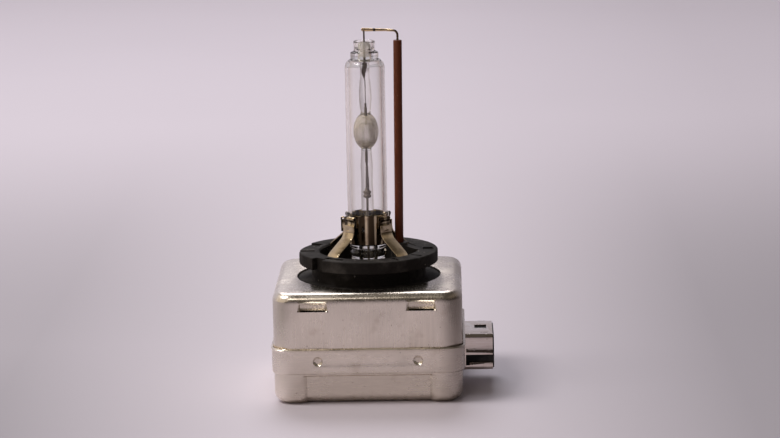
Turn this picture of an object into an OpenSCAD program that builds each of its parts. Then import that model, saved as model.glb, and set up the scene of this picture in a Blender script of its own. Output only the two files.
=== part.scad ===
// Gas discharge headlight bulb with its igniter built into the foot.
// Millimetres, +Z up along the burner. The origin lies on the burner's axis, at the
// centre of the reference ring's upper face. The plug socket faces +X, the front is -Y.

/* [Metal cans] */
// Height from the standing face to the reference face
stand_h = 31.4; // [31:0.1:32]
// Width of the upper can
can_w = 42.8; // [42:0.1:44]
// Depth of the upper can
can_d = 42.6; // [42:0.1:44]
// Radius of the cans' upright corners
can_corner_r = 4.5; // [4:0.1:5.5]
// Rounding of the upper can's top edge
can_edge_r = 2; // [1.2:0.1:2.4]
// Sheet thickness of both cans
sheet_t = 0.55; // [0.4:0.05:0.6]
// Depth of the upper can's roof below the reference face
roof_drop = 5.9; // [5.8:0.1:6]
// Depth of the lower can's rim below the reference face
rim_drop = 18.7; // [18:0.1:19]
// Depth of the step under the lower can's band
step_drop = 24.3; // [24:0.1:25]
// Rounding of the lower can's bottom edge
foot_edge_r = 2.5; // [1.5:0.1:3]
// Width of the sunk panels in the lower can's front and back
panel_w = 28; // [20:0.5:30]
// Depth of those panels
panel_sink = 1; // [0.4:0.1:1.2]
// Distance of the crimp dimples from the middle
crimp_x = 11.3; // [8:0.1:14]
// Distance of the pressed-in tabs from the middle
lance_x = 12.2; // [10:0.1:14]
// Width of a pressed-in tab
lance_w = 5.8; // [4:0.1:7]

/* [Burner base] */
// Radius of the reference ring
ring_r = 16; // [16:0.1:16.2]
// Thickness of the reference ring
ring_t = 2.7; // [2.5:0.1:2.8]
// Radius of the collar under the ring
collar_r = 13.2; // [13:0.1:14]
// Radius of the open well around the burner's foot
well_r = 11.2; // [10.8:0.1:11.4]
// Radius of the deck that shows in the can's round hole
deck_r = 16.2; // [16:0.1:16.3]
// Radius of the round hole in the upper can
roof_hole_r = 16.6; // [16.5:0.1:17]

/* [Burner] */
// Outer radius of the outer glass tube
glass_r = 4.58; // [4.4:0.01:4.6]
// Wall of the outer glass tube
glass_t = 0.85; // [0.6:0.05:1]
// Height of the arc's middle above the reference face
arc_z = 27.1; // [26.8:0.1:27.4]
// Radius of the arc tube's bulb
bulb_r = 2.85; // [2.6:0.05:3]
// Radius of the arc tube's stems
stem_r = 1.4; // [1.2:0.05:1.5]
// Radius of the lead wires
lead_r = 0.2; // [0.15:0.01:0.25]
// Height of the ceramic tube's top
ceramic_top = 48.5; // [48:0.1:49]
// Outer radius of the ceramic tube
ceramic_r = 0.98; // [0.9:0.01:1.1]
// Lean of the ceramic tube, in degrees
ceramic_lean = 0.57; // [0.4:0.01:0.7]

/* [Clamp and straps] */
// Outer radius of the clamp sleeve
sleeve_r = 4.9; // [4.88:0.01:5]
// Thickness of the clamp's sheet steel
clamp_t = 0.28; // [0.2:0.01:0.3]
// Width of a support strap
strap_w = 3.4; // [2.4:0.1:3.6]
// Thickness of a support strap
strap_t = 0.32; // [0.25:0.01:0.35]

/* [Plug socket] */
// Distance of the socket's mouth from the burner's axis
plug_reach = 28.6; // [28:0.1:29]
// Width of the socket's metal shroud
plug_w = 14.8; // [14:0.1:15]
// Height of the socket's metal shroud
plug_h = 8.5; // [8:0.1:8.6]
// Depth of the socket's middle below the reference face
plug_drop = 23.05; // [23:0.05:23.1]

/* [Hidden] */
$fn = 96;
hull_fn = 32;
eps = 0.02;

// Cans
roof_z = -roof_drop;
rim_z = -rim_drop;
step_z = -step_drop;
floor_z = -stand_h;
band_gap = 0.05;
band_w = can_w + 2 * (band_gap + sheet_t);
band_d = can_d + 2 * (band_gap + sheet_t);
lower_w = can_w - 0.1;
lower_d = can_d - 0.1;
can_skirt_z = step_z + 0.35;
lance_h = 2.7;
lance_z = -8.5;
slit_h = 0.45;
crimp_z = -21.3;
crimp_r = 1.5;
crimp_sink = 0.45;

// Burner base
collar_foot_z = roof_z - 0.3;
deck_t = 1.5;
floor_bottom_z = -10.4;
well_floor_z = -8.6;
skirt_r = 15.4;
hub_r = 3.7;
hub_top_z = -4.6;
hub_bore_r = 1.75;
notch_w = 3.3;
notch_deep = 1.5;
notch_turn = 224;
groove_w = 3.5;
groove_sink = 0.8;
boss_r = 1.9;
boss_top_z = 1.6;

// Burner
tube_foot_z = -2.7;
tube_floor_z = 1.9;
shoulder_z = 42.6;
neck_r = 3.15;
tip_r = 2.3;
tip_z = 48.4;
bulb_half = 4.4;
bulb_wall = 0.75;
lead_tip_z = 51.2;
foil_w = 1.5;
foil_t = 0.12;
upper_foil_z = [34.2, 43.2];
lower_foil_z = [14.4, 19.6];
electrode_r = 0.16;
arc_half = 2.1;
crimp_tube_z = [12.2, 13.9];
stem_foot_z = -7.6;
lead_foot_z = -12.6;

// Return line
ceramic_x = 7.15;
ceramic_foot_z = -7;
ceramic_bore_r = 0.36;
wire_r = 0.26;
bend_r = 1.3;
arm_h = 0.8;
arm_t = 0.34;
arm_y = 0.4;
arm_end_x = -0.6;
arm_z = 50.95;
arm_slope = 1.5;

// Clamp and straps
sleeve_z = [1.7, 8.9];
finger_r = 5.72;
finger_w = 3;
finger_z = [4.6, 8.8];
strap_r = finger_r + clamp_t / 2 + strap_t / 2 + 0.01;
strap_top_z = 6.5;
strap_knee_z = 3.7;
strap_foot_r = 11.55;
strap_foot_z = -0.2;
strap_root_z = -6.4;
ear_z = [4.4, 7.2];

// Igniter
tray_w = 40.2;
tray_d = 38.8;
tray_wall = 1.2;
tray_foot_h = 1.1;
tray_z = floor_z + sheet_t + tray_foot_h;
tray_top_z = -11.6;
board_z = tray_z + tray_wall;
board_t = 1.2;
board_top_z = board_z + board_t;
coil_x = -7.5;
coil_z = -19.2;
rod_r = 3;
rod_l = 30;
bobbin_r = 3.9;
cheek_r = 6.4;
cheek_t = 0.9;
sections = 5;
coil_pitch = (rod_l - 4 - cheek_t) / sections;
primary_r = 6.2;
gap_x = 6.2;
gap_y = -8.6;
gap_z = -22.4;
gap_r = 3.6;
gap_l = 5.6;
pin_pitch = 2.8;
pin_tip_x = 23.9;
pin_root_x = 12.4;
shell_t = 0.4;
insert_t = 0.8;
insert_gap = 0.05;
socket_floor_x = 19.4;
plug_z = -plug_drop;

// Rounded rectangle made of exact arcs, centred
module round_rect(w, d, r) {
    square([w - 2 * r, d], center = true);
    square([w, d - 2 * r], center = true);
    for (sx = [-1, 1], sy = [-1, 1]) {
        translate([sx * (w / 2 - r), sy * (d / 2 - r)]) circle(r = r);
    }
}

// Upright post with its top edge rounded over
module soft_post(r, edge, h) {
    cylinder(r = r, h = h - edge, $fn = hull_fn);
    translate([0, 0, h - edge]) rotate_extrude($fn = hull_fn) {
        square([r - edge, edge]);
        translate([r - edge, 0]) intersection() {
            circle(r = edge, $fn = hull_fn);
            square(edge);
        }
    }
}

// Box with round corners and a rounded top edge, standing on z = 0
module drawn_box(w, d, h, r, edge) {
    hull() for (sx = [-1, 1], sy = [-1, 1]) {
        translate([sx * (w / 2 - r), sy * (d / 2 - r), 0]) soft_post(r, edge, h);
    }
}

// Room that the plug socket needs through a can's right wall
module socket_cutout(grow) {
    translate([can_w / 2 - 4, 0, plug_z]) {
        rotate([90, 0, 90]) linear_extrude(8) round_rect(plug_w + 2 * grow, plug_h + 2 * grow, 1 + grow);
    }
}

// Pieces at the four quarter azimuths or one of them
module at_azimuth(a) {
    rotate([0, 0, a]) children();
}

module upper_can() {
    color("#b3aa9f") difference() {
        translate([0, 0, can_skirt_z]) {
            drawn_box(can_w, can_d, roof_z - can_skirt_z, can_corner_r, can_edge_r);
        }
        translate([0, 0, can_skirt_z - eps]) {
            drawn_box(can_w - 2 * sheet_t, can_d - 2 * sheet_t, roof_z - can_skirt_z - sheet_t + eps,
                can_corner_r - sheet_t, can_edge_r - sheet_t);
        }
        translate([0, 0, roof_z - 2]) cylinder(r = roof_hole_r, h = 3, $fn = 128);
        socket_cutout(0.15);
        for (sx = [-1, 1], sy = [-1, 1]) {
            translate([sx * lance_x - lance_w / 2, sy * can_d / 2 - 1, lance_z - lance_h / 2]) {
                cube([lance_w, 2, slit_h]);
            }
        }
    }
}

// Drawn body of the lower can below its band, shrunk by the sheet for its inside
module lower_block(inset) {
    h = step_z - floor_z;
    difference() {
        translate([0, 0, step_z]) mirror([0, 0, 1]) {
            drawn_box(
                lower_w - 2 * inset, lower_d - 2 * inset, h - inset,
                can_corner_r - inset, foot_edge_r - inset
            );
        }
        for (s = [0, 180]) rotate([0, 0, s]) {
            translate([-panel_w / 2 - inset, lower_d / 2 - panel_sink - inset, floor_z - 1]) {
                cube([panel_w + 2 * inset, 2 * panel_sink, h + 2]);
            }
        }
    }
}

module lower_can() {
    color("#aaa094") difference() {
        union() {
            lower_block(0);
            translate([0, 0, step_z]) linear_extrude(rim_z - step_z) {
                round_rect(band_w, band_d, can_corner_r + sheet_t);
            }
        }
        lower_block(sheet_t);
        translate([0, 0, step_z - eps]) linear_extrude(sheet_t) {
            round_rect(lower_w - 2 * sheet_t, lower_d - 2 * sheet_t - 2 * panel_sink, can_corner_r - sheet_t);
        }
        translate([0, 0, step_z + 0.3]) linear_extrude(rim_z - step_z) {
            round_rect(band_w - 2 * sheet_t, band_d - 2 * sheet_t, can_corner_r);
        }
        socket_cutout(0.15);
        for (sx = [-1, 1], sy = [-1, 1]) {
            translate([sx * crimp_x, sy * (band_d / 2 + crimp_r - crimp_sink), crimp_z]) {
                sphere(r = crimp_r, $fn = 32);
            }
        }
    }
}

module burner_base() {
    color("#262322") difference() {
        union() {
            translate([0, 0, -ring_t]) cylinder(r = ring_r, h = ring_t);
            translate([0, 0, collar_foot_z]) cylinder(r = collar_r, h = -ring_t - collar_foot_z);
            translate([0, 0, collar_foot_z - deck_t]) cylinder(r = deck_r, h = deck_t);
            translate([0, 0, floor_bottom_z]) {
                cylinder(r = skirt_r, h = collar_foot_z - deck_t - floor_bottom_z);
            }
        }
        difference() {
            translate([0, 0, well_floor_z]) cylinder(r = well_r, h = 20);
            translate([0, 0, well_floor_z - 1]) cylinder(r = hub_r, h = hub_top_z - well_floor_z + 1);
        }
        translate([0, 0, boss_top_z]) cylinder(r = 30, h = 9);
        translate([0, 0, floor_bottom_z - 1]) cylinder(r = hub_bore_r, h = 12);
        at_azimuth(notch_turn) translate([ring_r - notch_deep, -notch_w / 2, -ring_t - 0.01]) {
            cube([4, notch_w, ring_t + 1]);
        }
        at_azimuth(180) translate([12.4, -groove_w / 2, -groove_sink]) cube([6, groove_w, 2]);
        translate([12.6, -1.5, -0.35]) cube([2.2, 3, 1]);
        at_azimuth(251) translate([13.4, 0, -0.6]) cylinder(r = 0.9, h = 2);
        for (a = [45:90:315]) at_azimuth(a) strap_body(0.03);
        return_lean() translate([0, 0, floor_bottom_z - 2]) cylinder(r = 0.9, h = 8);
    }
    color("#262322") difference() {
        union() {
            translate([ceramic_x, 0, well_floor_z]) {
                cylinder(r = boss_r, h = boss_top_z - well_floor_z);
            }
            translate([ceramic_x, -boss_r, well_floor_z]) {
                cube([well_r - ceramic_x - 0.1, 2 * boss_r, -well_floor_z]);
            }
        }
        return_lean() translate([0, 0, floor_bottom_z - 2]) cylinder(r = ceramic_r + 0.02, h = 20);
    }
}

module sealing_gasket() {
    color("#3a3a3a") translate([0, 0, roof_z - sheet_t - 1.15]) difference() {
        cylinder(r = 18.4, h = 1.1);
        translate([0, 0, -1]) cylinder(r = deck_r + 0.1, h = 3);
    }
}

module igniter_tray() {
    color("#4a4540") difference() {
        union() {
            translate([0, 0, tray_z]) linear_extrude(tray_top_z - tray_z) round_rect(tray_w, tray_d, 3.2);
            for (sx = [-1, 1], sy = [-1, 1]) {
                translate([sx * 14, sy * 14, tray_z - tray_foot_h]) cylinder(r = 1.8, h = tray_foot_h + 0.5);
            }
        }
        translate([0, 0, tray_z + tray_wall]) linear_extrude(30) {
            round_rect(tray_w - 2 * tray_wall, tray_d - 2 * tray_wall, 2);
        }
        translate([tray_w / 2 - 8, 0, plug_z]) {
            rotate([90, 0, 90]) linear_extrude(12) round_rect(plug_w + 0.1, plug_h + 0.1, 1);
        }
    }
}

module connector_shroud() {
    inner_w = plug_w - 2 * shell_t;
    inner_h = plug_h - 2 * shell_t;
    color("#c4c2bc") difference() {
        translate([17, 0, plug_z]) rotate([90, 0, 90]) linear_extrude(plug_reach - 17.3) {
            round_rect(plug_w, plug_h, 1);
        }
        translate([16, 0, plug_z]) rotate([90, 0, 90]) {
            linear_extrude(plug_reach) round_rect(inner_w, inner_h, 0.6);
        }
        translate([22.6, -plug_w, plug_z - 2.35]) cube([9, 2 * plug_w, 1.75]);
        translate([22.6, -plug_w, plug_z - 3.1]) cube([0.9, 2 * plug_w, 1.2]);
        translate([24.2, -0.65, plug_z + 2]) cube([2.75, 3.35, 4]);
    }
}

module connector_insert() {
    outer_w = plug_w - 2 * shell_t - 2 * insert_gap;
    outer_h = plug_h - 2 * shell_t - 2 * insert_gap;
    color("#1c1b1b") difference() {
        translate([15.4, 0, plug_z]) rotate([90, 0, 90]) linear_extrude(plug_reach - 15.4) {
            round_rect(outer_w, outer_h, 0.55);
        }
        translate([socket_floor_x, 0, plug_z]) rotate([90, 0, 90]) linear_extrude(12) {
            round_rect(outer_w - 2 * insert_t, outer_h - 2 * insert_t, 0.4);
        }
        pin_row(0.01);
    }
}

// Four contact blades that run back into the igniter and turn down to the board
module pin_row(grow) {
    for (i = [-1.5:1:1.5]) translate([0, i * pin_pitch, 0]) {
        translate([pin_root_x, -0.7 - grow, plug_z - 0.3 - grow]) {
            cube([pin_tip_x - pin_root_x, 1.4 + 2 * grow, 0.6 + 2 * grow]);
        }
        translate([pin_root_x, -0.7, board_top_z]) cube([0.6, 1.4, plug_z - board_top_z]);
    }
}

module connector_pins() {
    color("#c9b98a") pin_row(0);
}

// Sleeve with four fingers that curl out over its rim and come down outside it
module clamp_sleeve() {
    mid_r = (sleeve_r + finger_r + clamp_t / 2) / 2;
    curl_r = (finger_r + clamp_t / 2 - sleeve_r + clamp_t) / 2;
    color("#a8936a") {
        difference() {
            translate([0, 0, sleeve_z[0]]) cylinder(r = sleeve_r, h = sleeve_z[1] - sleeve_z[0]);
            translate([0, 0, sleeve_z[0] - 1]) cylinder(r = sleeve_r - clamp_t, h = 12);
            rotate([90, 0, -12]) translate([0, 5.3, 0]) cylinder(r = 0.42, h = 9, $fn = 24);
        }
        for (a = [45:90:315]) at_azimuth(a) rotate([90, 0, 0]) {
            translate([0, 0, -finger_w / 2]) linear_extrude(finger_w) {
                translate([finger_r - clamp_t / 2, finger_z[0]]) square([clamp_t, finger_z[1] - finger_z[0]]);
                translate([mid_r - clamp_t / 2, finger_z[1]]) intersection() {
                    difference() {
                        circle(r = curl_r, $fn = 48);
                        circle(r = curl_r - clamp_t, $fn = 48);
                    }
                    translate([-2, 0]) square([4, 2]);
                }
            }
        }
        translate([-sleeve_r - 1.25, -0.3, ear_z[0]]) cube([1.27, 0.6, ear_z[1] - ear_z[0]]);
    }
}

// Strip of a profile between two points, with round ends
module bar(a, b, t) {
    d = b - a;
    translate(a) rotate(atan2(d[1], d[0])) translate([0, -t / 2]) square([norm(d), t]);
    translate(a) circle(d = t, $fn = 24);
    translate(b) circle(d = t, $fn = 24);
}

// Bent strap from the clamp's finger down into the base, seen in its own radial plane
module strap_body(grow) {
    t = strap_t + 2 * grow;
    top = [strap_r, strap_top_z];
    knee = [strap_r, strap_knee_z];
    toe = [strap_foot_r, strap_foot_z];
    root = [strap_foot_r, strap_root_z];
    rotate([90, 0, 0]) translate([0, 0, -strap_w / 2 - grow]) linear_extrude(strap_w + 2 * grow) {
        bar(top, knee, t);
        bar(knee, toe, t);
        bar(toe, root, t);
    }
}

module strap_front_left() {
    color("#b5a27a") at_azimuth(225) strap_body(0);
}

module strap_front_right() {
    color("#b5a27a") at_azimuth(315) strap_body(0);
}

module strap_rear_left() {
    color("#b5a27a") at_azimuth(135) strap_body(0);
}

module strap_rear_right() {
    color("#b5a27a") at_azimuth(45) strap_body(0);
}

module outer_glass_tube() {
    inner_r = glass_r - glass_t;
    color("#dfe6ea", 0.35) difference() {
        rotate_extrude() {
            polygon([
                [0, tube_foot_z], [3.3, tube_foot_z], [4.15, -1.6], [4.25, -0.2], [3.6, 0.5], [glass_r, 1.2],
                [glass_r, shoulder_z], [4.3, 43.5], [3.6, 44.3], [neck_r, 44.5], [neck_r, 45.9],
                [2.5, 46.15], [tip_r, 46.5], [tip_r + 0.15, tip_z], [0, tip_z]
            ]);
        }
        rotate_extrude() {
            polygon([
                [0, tube_floor_z], [3, tube_floor_z], [inner_r, tube_floor_z + 0.8], [inner_r, 42.7],
                [3.2, 43.5], [2.4, 44.1], [0, 44.1]
            ]);
        }
        translate([0, 0, -20]) cylinder(r = stem_r + 0.01, h = 90);
    }
}

// Fused quartz: two stems with the arc bulb blown between them, closed round the foils
module arc_tube() {
    color("#e8ecec", 0.35) difference() {
        union() {
            translate([0, 0, stem_foot_z]) cylinder(r = stem_r, h = 47.6 - stem_foot_z);
            translate([0, 0, arc_z]) scale(bulb_half) rotate_extrude() {
                polygon([for (i = [0:30]) let (a = -90 + 6 * i) [bulb_r / bulb_half * cos(a), sin(a)]]);
            }
        }
        bulb_room();
        burner_metal();
    }
}

// Discharge room inside the bulb
module bulb_room() {
    room_half = bulb_half - 1.1;
    room_r = bulb_r - bulb_wall;
    translate([0, 0, arc_z]) rotate_extrude() {
        polygon([for (i = [0:30]) let (a = -90 + 6 * i) [room_r * cos(a), room_half * sin(a)]]);
    }
}

module burner_metal() {
    upper_electrode();
    lower_electrode();
    upper_foil();
    lower_foil();
    upper_lead_wire();
    lower_lead_wire();
    lower_lead_crimp();
}

module halide_salts() {
    color("#c9b37a") intersection() {
        bulb_room();
        translate([0, 0, arc_z - 6.2]) cylinder(r = 3, h = 3.35);
        difference() {
            translate([0, 0, arc_z - 5]) cylinder(r = 1.3, h = 5);
            translate([0, 0, arc_z - 6]) cylinder(r = electrode_r + 0.05, h = 7, $fn = 24);
        }
    }
}

// Round bar on the burner's axis between two heights
module axis_bar(r, z0, z1) {
    translate([0, 0, z0]) cylinder(r = r, h = z1 - z0, $fn = 32);
}

module upper_electrode() {
    color("#77726c") {
        axis_bar(electrode_r, arc_z + arc_half + 0.5, upper_foil_z[0]);
        axis_bar(electrode_r * 1.6, arc_z + arc_half, arc_z + arc_half + 0.5);
    }
}

module lower_electrode() {
    color("#77726c") {
        axis_bar(electrode_r, lower_foil_z[1], arc_z - arc_half - 0.5);
        axis_bar(electrode_r * 1.6, arc_z - arc_half - 0.5, arc_z - arc_half);
    }
}

module foil(span) {
    translate([-foil_w / 2, -foil_t / 2, span[0]]) cube([foil_w, foil_t, span[1] - span[0]]);
}

module upper_foil() {
    color("#5f5a55") foil(upper_foil_z);
}

module lower_foil() {
    color("#5f5a55") foil(lower_foil_z);
}

module upper_lead_wire() {
    color("#6a655f") axis_bar(lead_r, upper_foil_z[1], lead_tip_z);
}

module lower_lead_wire() {
    color("#6a655f") axis_bar(lead_r, lead_foot_z, crimp_tube_z[0]);
}

module lower_lead_crimp() {
    color("#4d4843") {
        axis_bar(0.62, crimp_tube_z[0], crimp_tube_z[1]);
        axis_bar(0.3, crimp_tube_z[1], lower_foil_z[0]);
    }
}

// Frame of the return line: on the ceramic tube's axis, tilted with it
module return_lean() {
    translate([ceramic_x, 0, 1.6]) rotate([0, ceramic_lean, 0]) translate([0, 0, -1.6]) children();
}

module ceramic_tube() {
    color("#4a2318") return_lean() difference() {
        translate([0, 0, ceramic_foot_z]) cylinder(r = ceramic_r, h = ceramic_top - ceramic_foot_z, $fn = 48);
        translate([0, 0, ceramic_foot_z - 1]) cylinder(r = ceramic_bore_r, h = 80, $fn = 48);
    }
}

// One wire: up through the ceramic, round a bend, and flattened where it crosses to the burner
module return_wire() {
    bend_z = arm_z - bend_r - 0.25;
    top_x = ceramic_x + (bend_z - 1.6) * sin(ceramic_lean);
    arm_l = top_x - bend_r - arm_end_x - arm_h / 2;
    color("#b08d4f") difference() {
        return_lean() {
            translate([0, 0, lead_foot_z]) cylinder(r = wire_r, h = bend_z - lead_foot_z, $fn = 32);
            translate([-bend_r, 0, bend_z]) rotate([90, 0, 0]) rotate_extrude(angle = 90) {
                translate([bend_r, 0]) circle(r = wire_r, $fn = 32);
            }
            translate([-bend_r, 0, bend_z + bend_r]) rotate([0, -90, 0]) {
                cylinder(r = wire_r, h = 0.8, $fn = 32);
            }
            translate([-bend_r - 0.4, arm_y, bend_z]) rotate([90, arm_slope, 0]) linear_extrude(arm_t) {
                translate([0.4 - arm_l, bend_r - arm_h / 2]) square([arm_l - 0.4, arm_h]);
                translate([0.4 - arm_l, bend_r]) circle(r = arm_h / 2, $fn = 48);
            }
        }
        axis_bar(lead_r + 0.01, lead_tip_z - 3, lead_tip_z + 1);
    }
}

// Sprung strip that carries the starting pulse from the coil to the burner's foot
module hv_terminal() {
    color("#b88a4a") {
        difference() {
            translate([-1.6, -1.6, lead_foot_z + 0.2]) cube([3.2, 3.2, 0.4]);
            translate([0, 0, lead_foot_z - 1]) cylinder(r = lead_r + 0.01, h = 4, $fn = 32);
        }
        translate([-1.6, 1.3, coil_z + 4.9]) cube([3.2, 0.4, lead_foot_z + 0.3 - coil_z - 4.9]);
    }
}

// Strip that takes the return wire down to the board
module return_terminal() {
    x = ceramic_x + (lead_foot_z + 0.4) * sin(ceramic_lean);
    color("#b88a4a") {
        difference() {
            translate([x - 0.9, -1.2, lead_foot_z + 0.2]) cube([5.6, 2.4, 0.4]);
            return_lean() translate([0, 0, lead_foot_z - 2]) cylinder(r = wire_r + 0.03, h = 6, $fn = 32);
        }
        translate([x + 4.3, -1.2, board_top_z]) cube([0.4, 2.4, lead_foot_z + 0.3 - board_top_z]);
    }
}

module circuit_board() {
    color("#2f5a3a") difference() {
        translate([0, 0, board_z]) linear_extrude(board_t) round_rect(36.6, 35, 1.5);
        for (sx = [-1, 1], sy = [-1, 1]) {
            translate([sx * 16.4, sy * 15.6, board_z - 1]) cylinder(r = 0.9, h = 4, $fn = 24);
        }
    }
}

// Round piece that lies along Y at the transformer's place
module along_coil(r, y0, y1) {
    translate([coil_x, y0, coil_z]) rotate([-90, 0, 0]) cylinder(r = r, h = y1 - y0, $fn = 64);
}

module transformer_core() {
    color("#3c3a3c") along_coil(rod_r, -rod_l / 2, rod_l / 2);
}

module transformer_bobbin() {
    end_y = rod_l / 2 - 2;
    color("#d8cfb4") difference() {
        union() {
            along_coil(bobbin_r, -end_y, end_y);
            for (i = [0:sections]) {
                along_coil(cheek_r, -end_y + i * coil_pitch, -end_y + i * coil_pitch + cheek_t);
            }
            for (s = [-1, 1]) translate([coil_x - 3, s * (end_y - cheek_t / 2) - cheek_t / 2, board_top_z]) {
                cube([6, cheek_t, coil_z - board_top_z]);
            }
        }
        along_coil(rod_r + 0.01, -20, 20);
    }
}

module secondary_winding() {
    color("#b5651d") difference() {
        for (i = [0:sections - 1]) {
            y0 = -rod_l / 2 + 2 + i * coil_pitch + cheek_t;
            along_coil(5.3, y0 + 0.02, y0 + coil_pitch - cheek_t - 0.02);
        }
        along_coil(bobbin_r + 0.01, -20, 20);
    }
}

// Flat copper turns laid over the secondary between the bobbin's cheeks
module primary_winding() {
    color("#c87533") difference() {
        for (i = [0:sections - 1]) {
            y0 = -rod_l / 2 + 2 + i * coil_pitch + cheek_t;
            along_coil(primary_r, y0 + 0.6, y0 + coil_pitch - cheek_t - 0.6);
        }
        along_coil(5.32, -20, 20);
    }
}

module spark_gap_body() {
    color("#e6e2d8") translate([gap_x - gap_l / 2, gap_y, gap_z]) rotate([0, 90, 0]) difference() {
        cylinder(r = gap_r, h = gap_l);
        translate([0, 0, -1]) cylinder(r = gap_r - 0.9, h = gap_l + 2);
    }
}

module spark_gap_caps() {
    color("#b9b6b0") for (s = [0, 180]) translate([gap_x, gap_y, gap_z]) rotate([0, 90, s]) {
        translate([0, 0, gap_l / 2]) cylinder(r = gap_r, h = 0.7);
        translate([0, 0, 0.5]) cylinder(r = 1.6, h = gap_l / 2 - 0.5);
        translate([0, 0, gap_l / 2 + 0.7]) cylinder(r = 0.4, h = 1.4, $fn = 24);
        translate([gap_z - board_top_z - 0.4, 0, gap_l / 2 + 2.1]) rotate([0, -90, 0]) {
            cylinder(r = 0.4, h = gap_z - board_top_z, $fn = 24);
        }
    }
}

module pulse_capacitor() {
    color("#c9a227") translate([2.2, 3.6, board_top_z]) linear_extrude(9.6) {
        translate([4.8, 6]) round_rect(9.6, 12, 0.8);
    }
}

module filter_capacitor() {
    color("#8f2f2a") translate([7.1, -15.1, board_top_z]) linear_extrude(3.6) round_rect(9, 4, 0.6);
}

module bleed_resistor() {
    color("#b9d3c6") translate([-16.4, 0, board_top_z + 1.3]) rotate([90, 0, 0]) {
        translate([0, 0, -3.2]) cylinder(r = 1.2, h = 6.4, $fn = 48);
        translate([0, 0, -6]) cylinder(r = 0.3, h = 12, $fn = 24);
    }
}

module choke_core() {
    color("#3c3a3c") translate([15.6, 12.4, board_top_z]) {
        cylinder(r = 2.2, h = 6);
        cylinder(r = 3.2, h = 0.9);
        translate([0, 0, 5.1]) cylinder(r = 3.2, h = 0.9);
    }
}

module choke_winding() {
    color("#c87533") translate([15.6, 12.4, board_top_z + 0.92]) difference() {
        cylinder(r = 3, h = 4.16);
        translate([0, 0, -1]) cylinder(r = 2.22, h = 7);
    }
}

upper_can();
lower_can();
burner_base();
igniter_tray();
connector_shroud();
connector_insert();
connector_pins();
clamp_sleeve();
strap_front_left();
strap_front_right();
strap_rear_left();
strap_rear_right();
outer_glass_tube();
arc_tube();
halide_salts();
upper_electrode();
lower_electrode();
upper_foil();
lower_foil();
upper_lead_wire();
lower_lead_wire();
lower_lead_crimp();
ceramic_tube();
return_wire();
hv_terminal();
return_terminal();
circuit_board();
transformer_core();
transformer_bobbin();
secondary_winding();
primary_winding();
spark_gap_body();
spark_gap_caps();
pulse_capacitor();
filter_capacitor();
bleed_resistor();
choke_core();
choke_winding();
sealing_gasket();
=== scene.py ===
"""Looks of a gas discharge headlight bulb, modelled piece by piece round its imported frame."""

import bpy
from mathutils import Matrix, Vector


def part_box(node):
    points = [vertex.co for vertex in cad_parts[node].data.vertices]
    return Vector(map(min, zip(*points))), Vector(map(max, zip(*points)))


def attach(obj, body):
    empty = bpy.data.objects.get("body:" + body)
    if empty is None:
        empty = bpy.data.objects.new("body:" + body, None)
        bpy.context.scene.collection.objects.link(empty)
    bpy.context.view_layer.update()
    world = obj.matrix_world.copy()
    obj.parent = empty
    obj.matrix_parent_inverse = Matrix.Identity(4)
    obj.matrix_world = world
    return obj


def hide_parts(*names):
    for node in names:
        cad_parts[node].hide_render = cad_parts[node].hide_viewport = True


bl_info = {
    "name": "Discharge Headlight Bulb",
    "version": (1, 0, 0),
    "blender": (4, 5, 0),
    "location": "View3D > Sidebar > Headlight Bulb",
    "description": "Models the cans, base, clamp, burner, return line and plug socket of a headlight bulb",
    "category": "Add Mesh",
}

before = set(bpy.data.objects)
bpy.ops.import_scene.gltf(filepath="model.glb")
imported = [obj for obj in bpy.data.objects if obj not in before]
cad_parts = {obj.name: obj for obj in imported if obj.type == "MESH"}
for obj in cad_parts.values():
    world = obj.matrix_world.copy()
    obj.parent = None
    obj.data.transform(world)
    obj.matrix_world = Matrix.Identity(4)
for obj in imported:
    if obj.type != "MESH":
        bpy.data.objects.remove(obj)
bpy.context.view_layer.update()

import math

import bmesh
import bpy
from mathutils import Matrix, Vector

MM = 0.001
TURN = 2 * math.pi


# ---------------------------------------------------------------- frame values

def low(node):
    """Lowest corner of a CAD node, in millimetres."""
    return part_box(node)[0] / MM


def high(node):
    """Highest corner of a CAD node, in millimetres."""
    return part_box(node)[1] / MM


def span(node):
    """Lowest and highest corner of a CAD node, in millimetres."""
    return low(node), high(node)


def sizes():
    return bpy.context.scene.bulb_sizes


def colours():
    return bpy.context.scene.bulb_colours


def mm(value):
    """A length property's value in millimetres."""
    return value / MM


# ---------------------------------------------------------------- modelling tools

def clear_selection():
    if bpy.context.object and bpy.context.object.mode != "OBJECT":
        bpy.ops.object.mode_set(mode="OBJECT")
    bpy.ops.object.select_all(action="DESELECT")


def choose(piece):
    """Makes one object the only selected one, and the active one."""
    clear_selection()
    piece.select_set(True)
    bpy.context.view_layer.objects.active = piece


def fix_place(piece):
    """Puts an object's own place, turn and size into its mesh."""
    choose(piece)
    bpy.ops.object.transform_apply(location=True, rotation=True, scale=True)


def edit(piece):
    choose(piece)
    bpy.ops.object.mode_set(mode="EDIT")


def leave():
    bpy.ops.object.mode_set(mode="OBJECT")


def pick_all():
    bpy.ops.mesh.select_all(action="SELECT")


def close_up(gap=0.0008):
    """In edit mode, merges points that lie together and turns every face outwards."""
    pick_all()
    bpy.ops.mesh.remove_doubles(threshold=gap)
    pick_all()
    bpy.ops.mesh.normals_make_consistent(inside=False)


def extrude(way):
    bpy.ops.mesh.extrude_region_move(TRANSFORM_OT_translate={"value": way})


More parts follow.
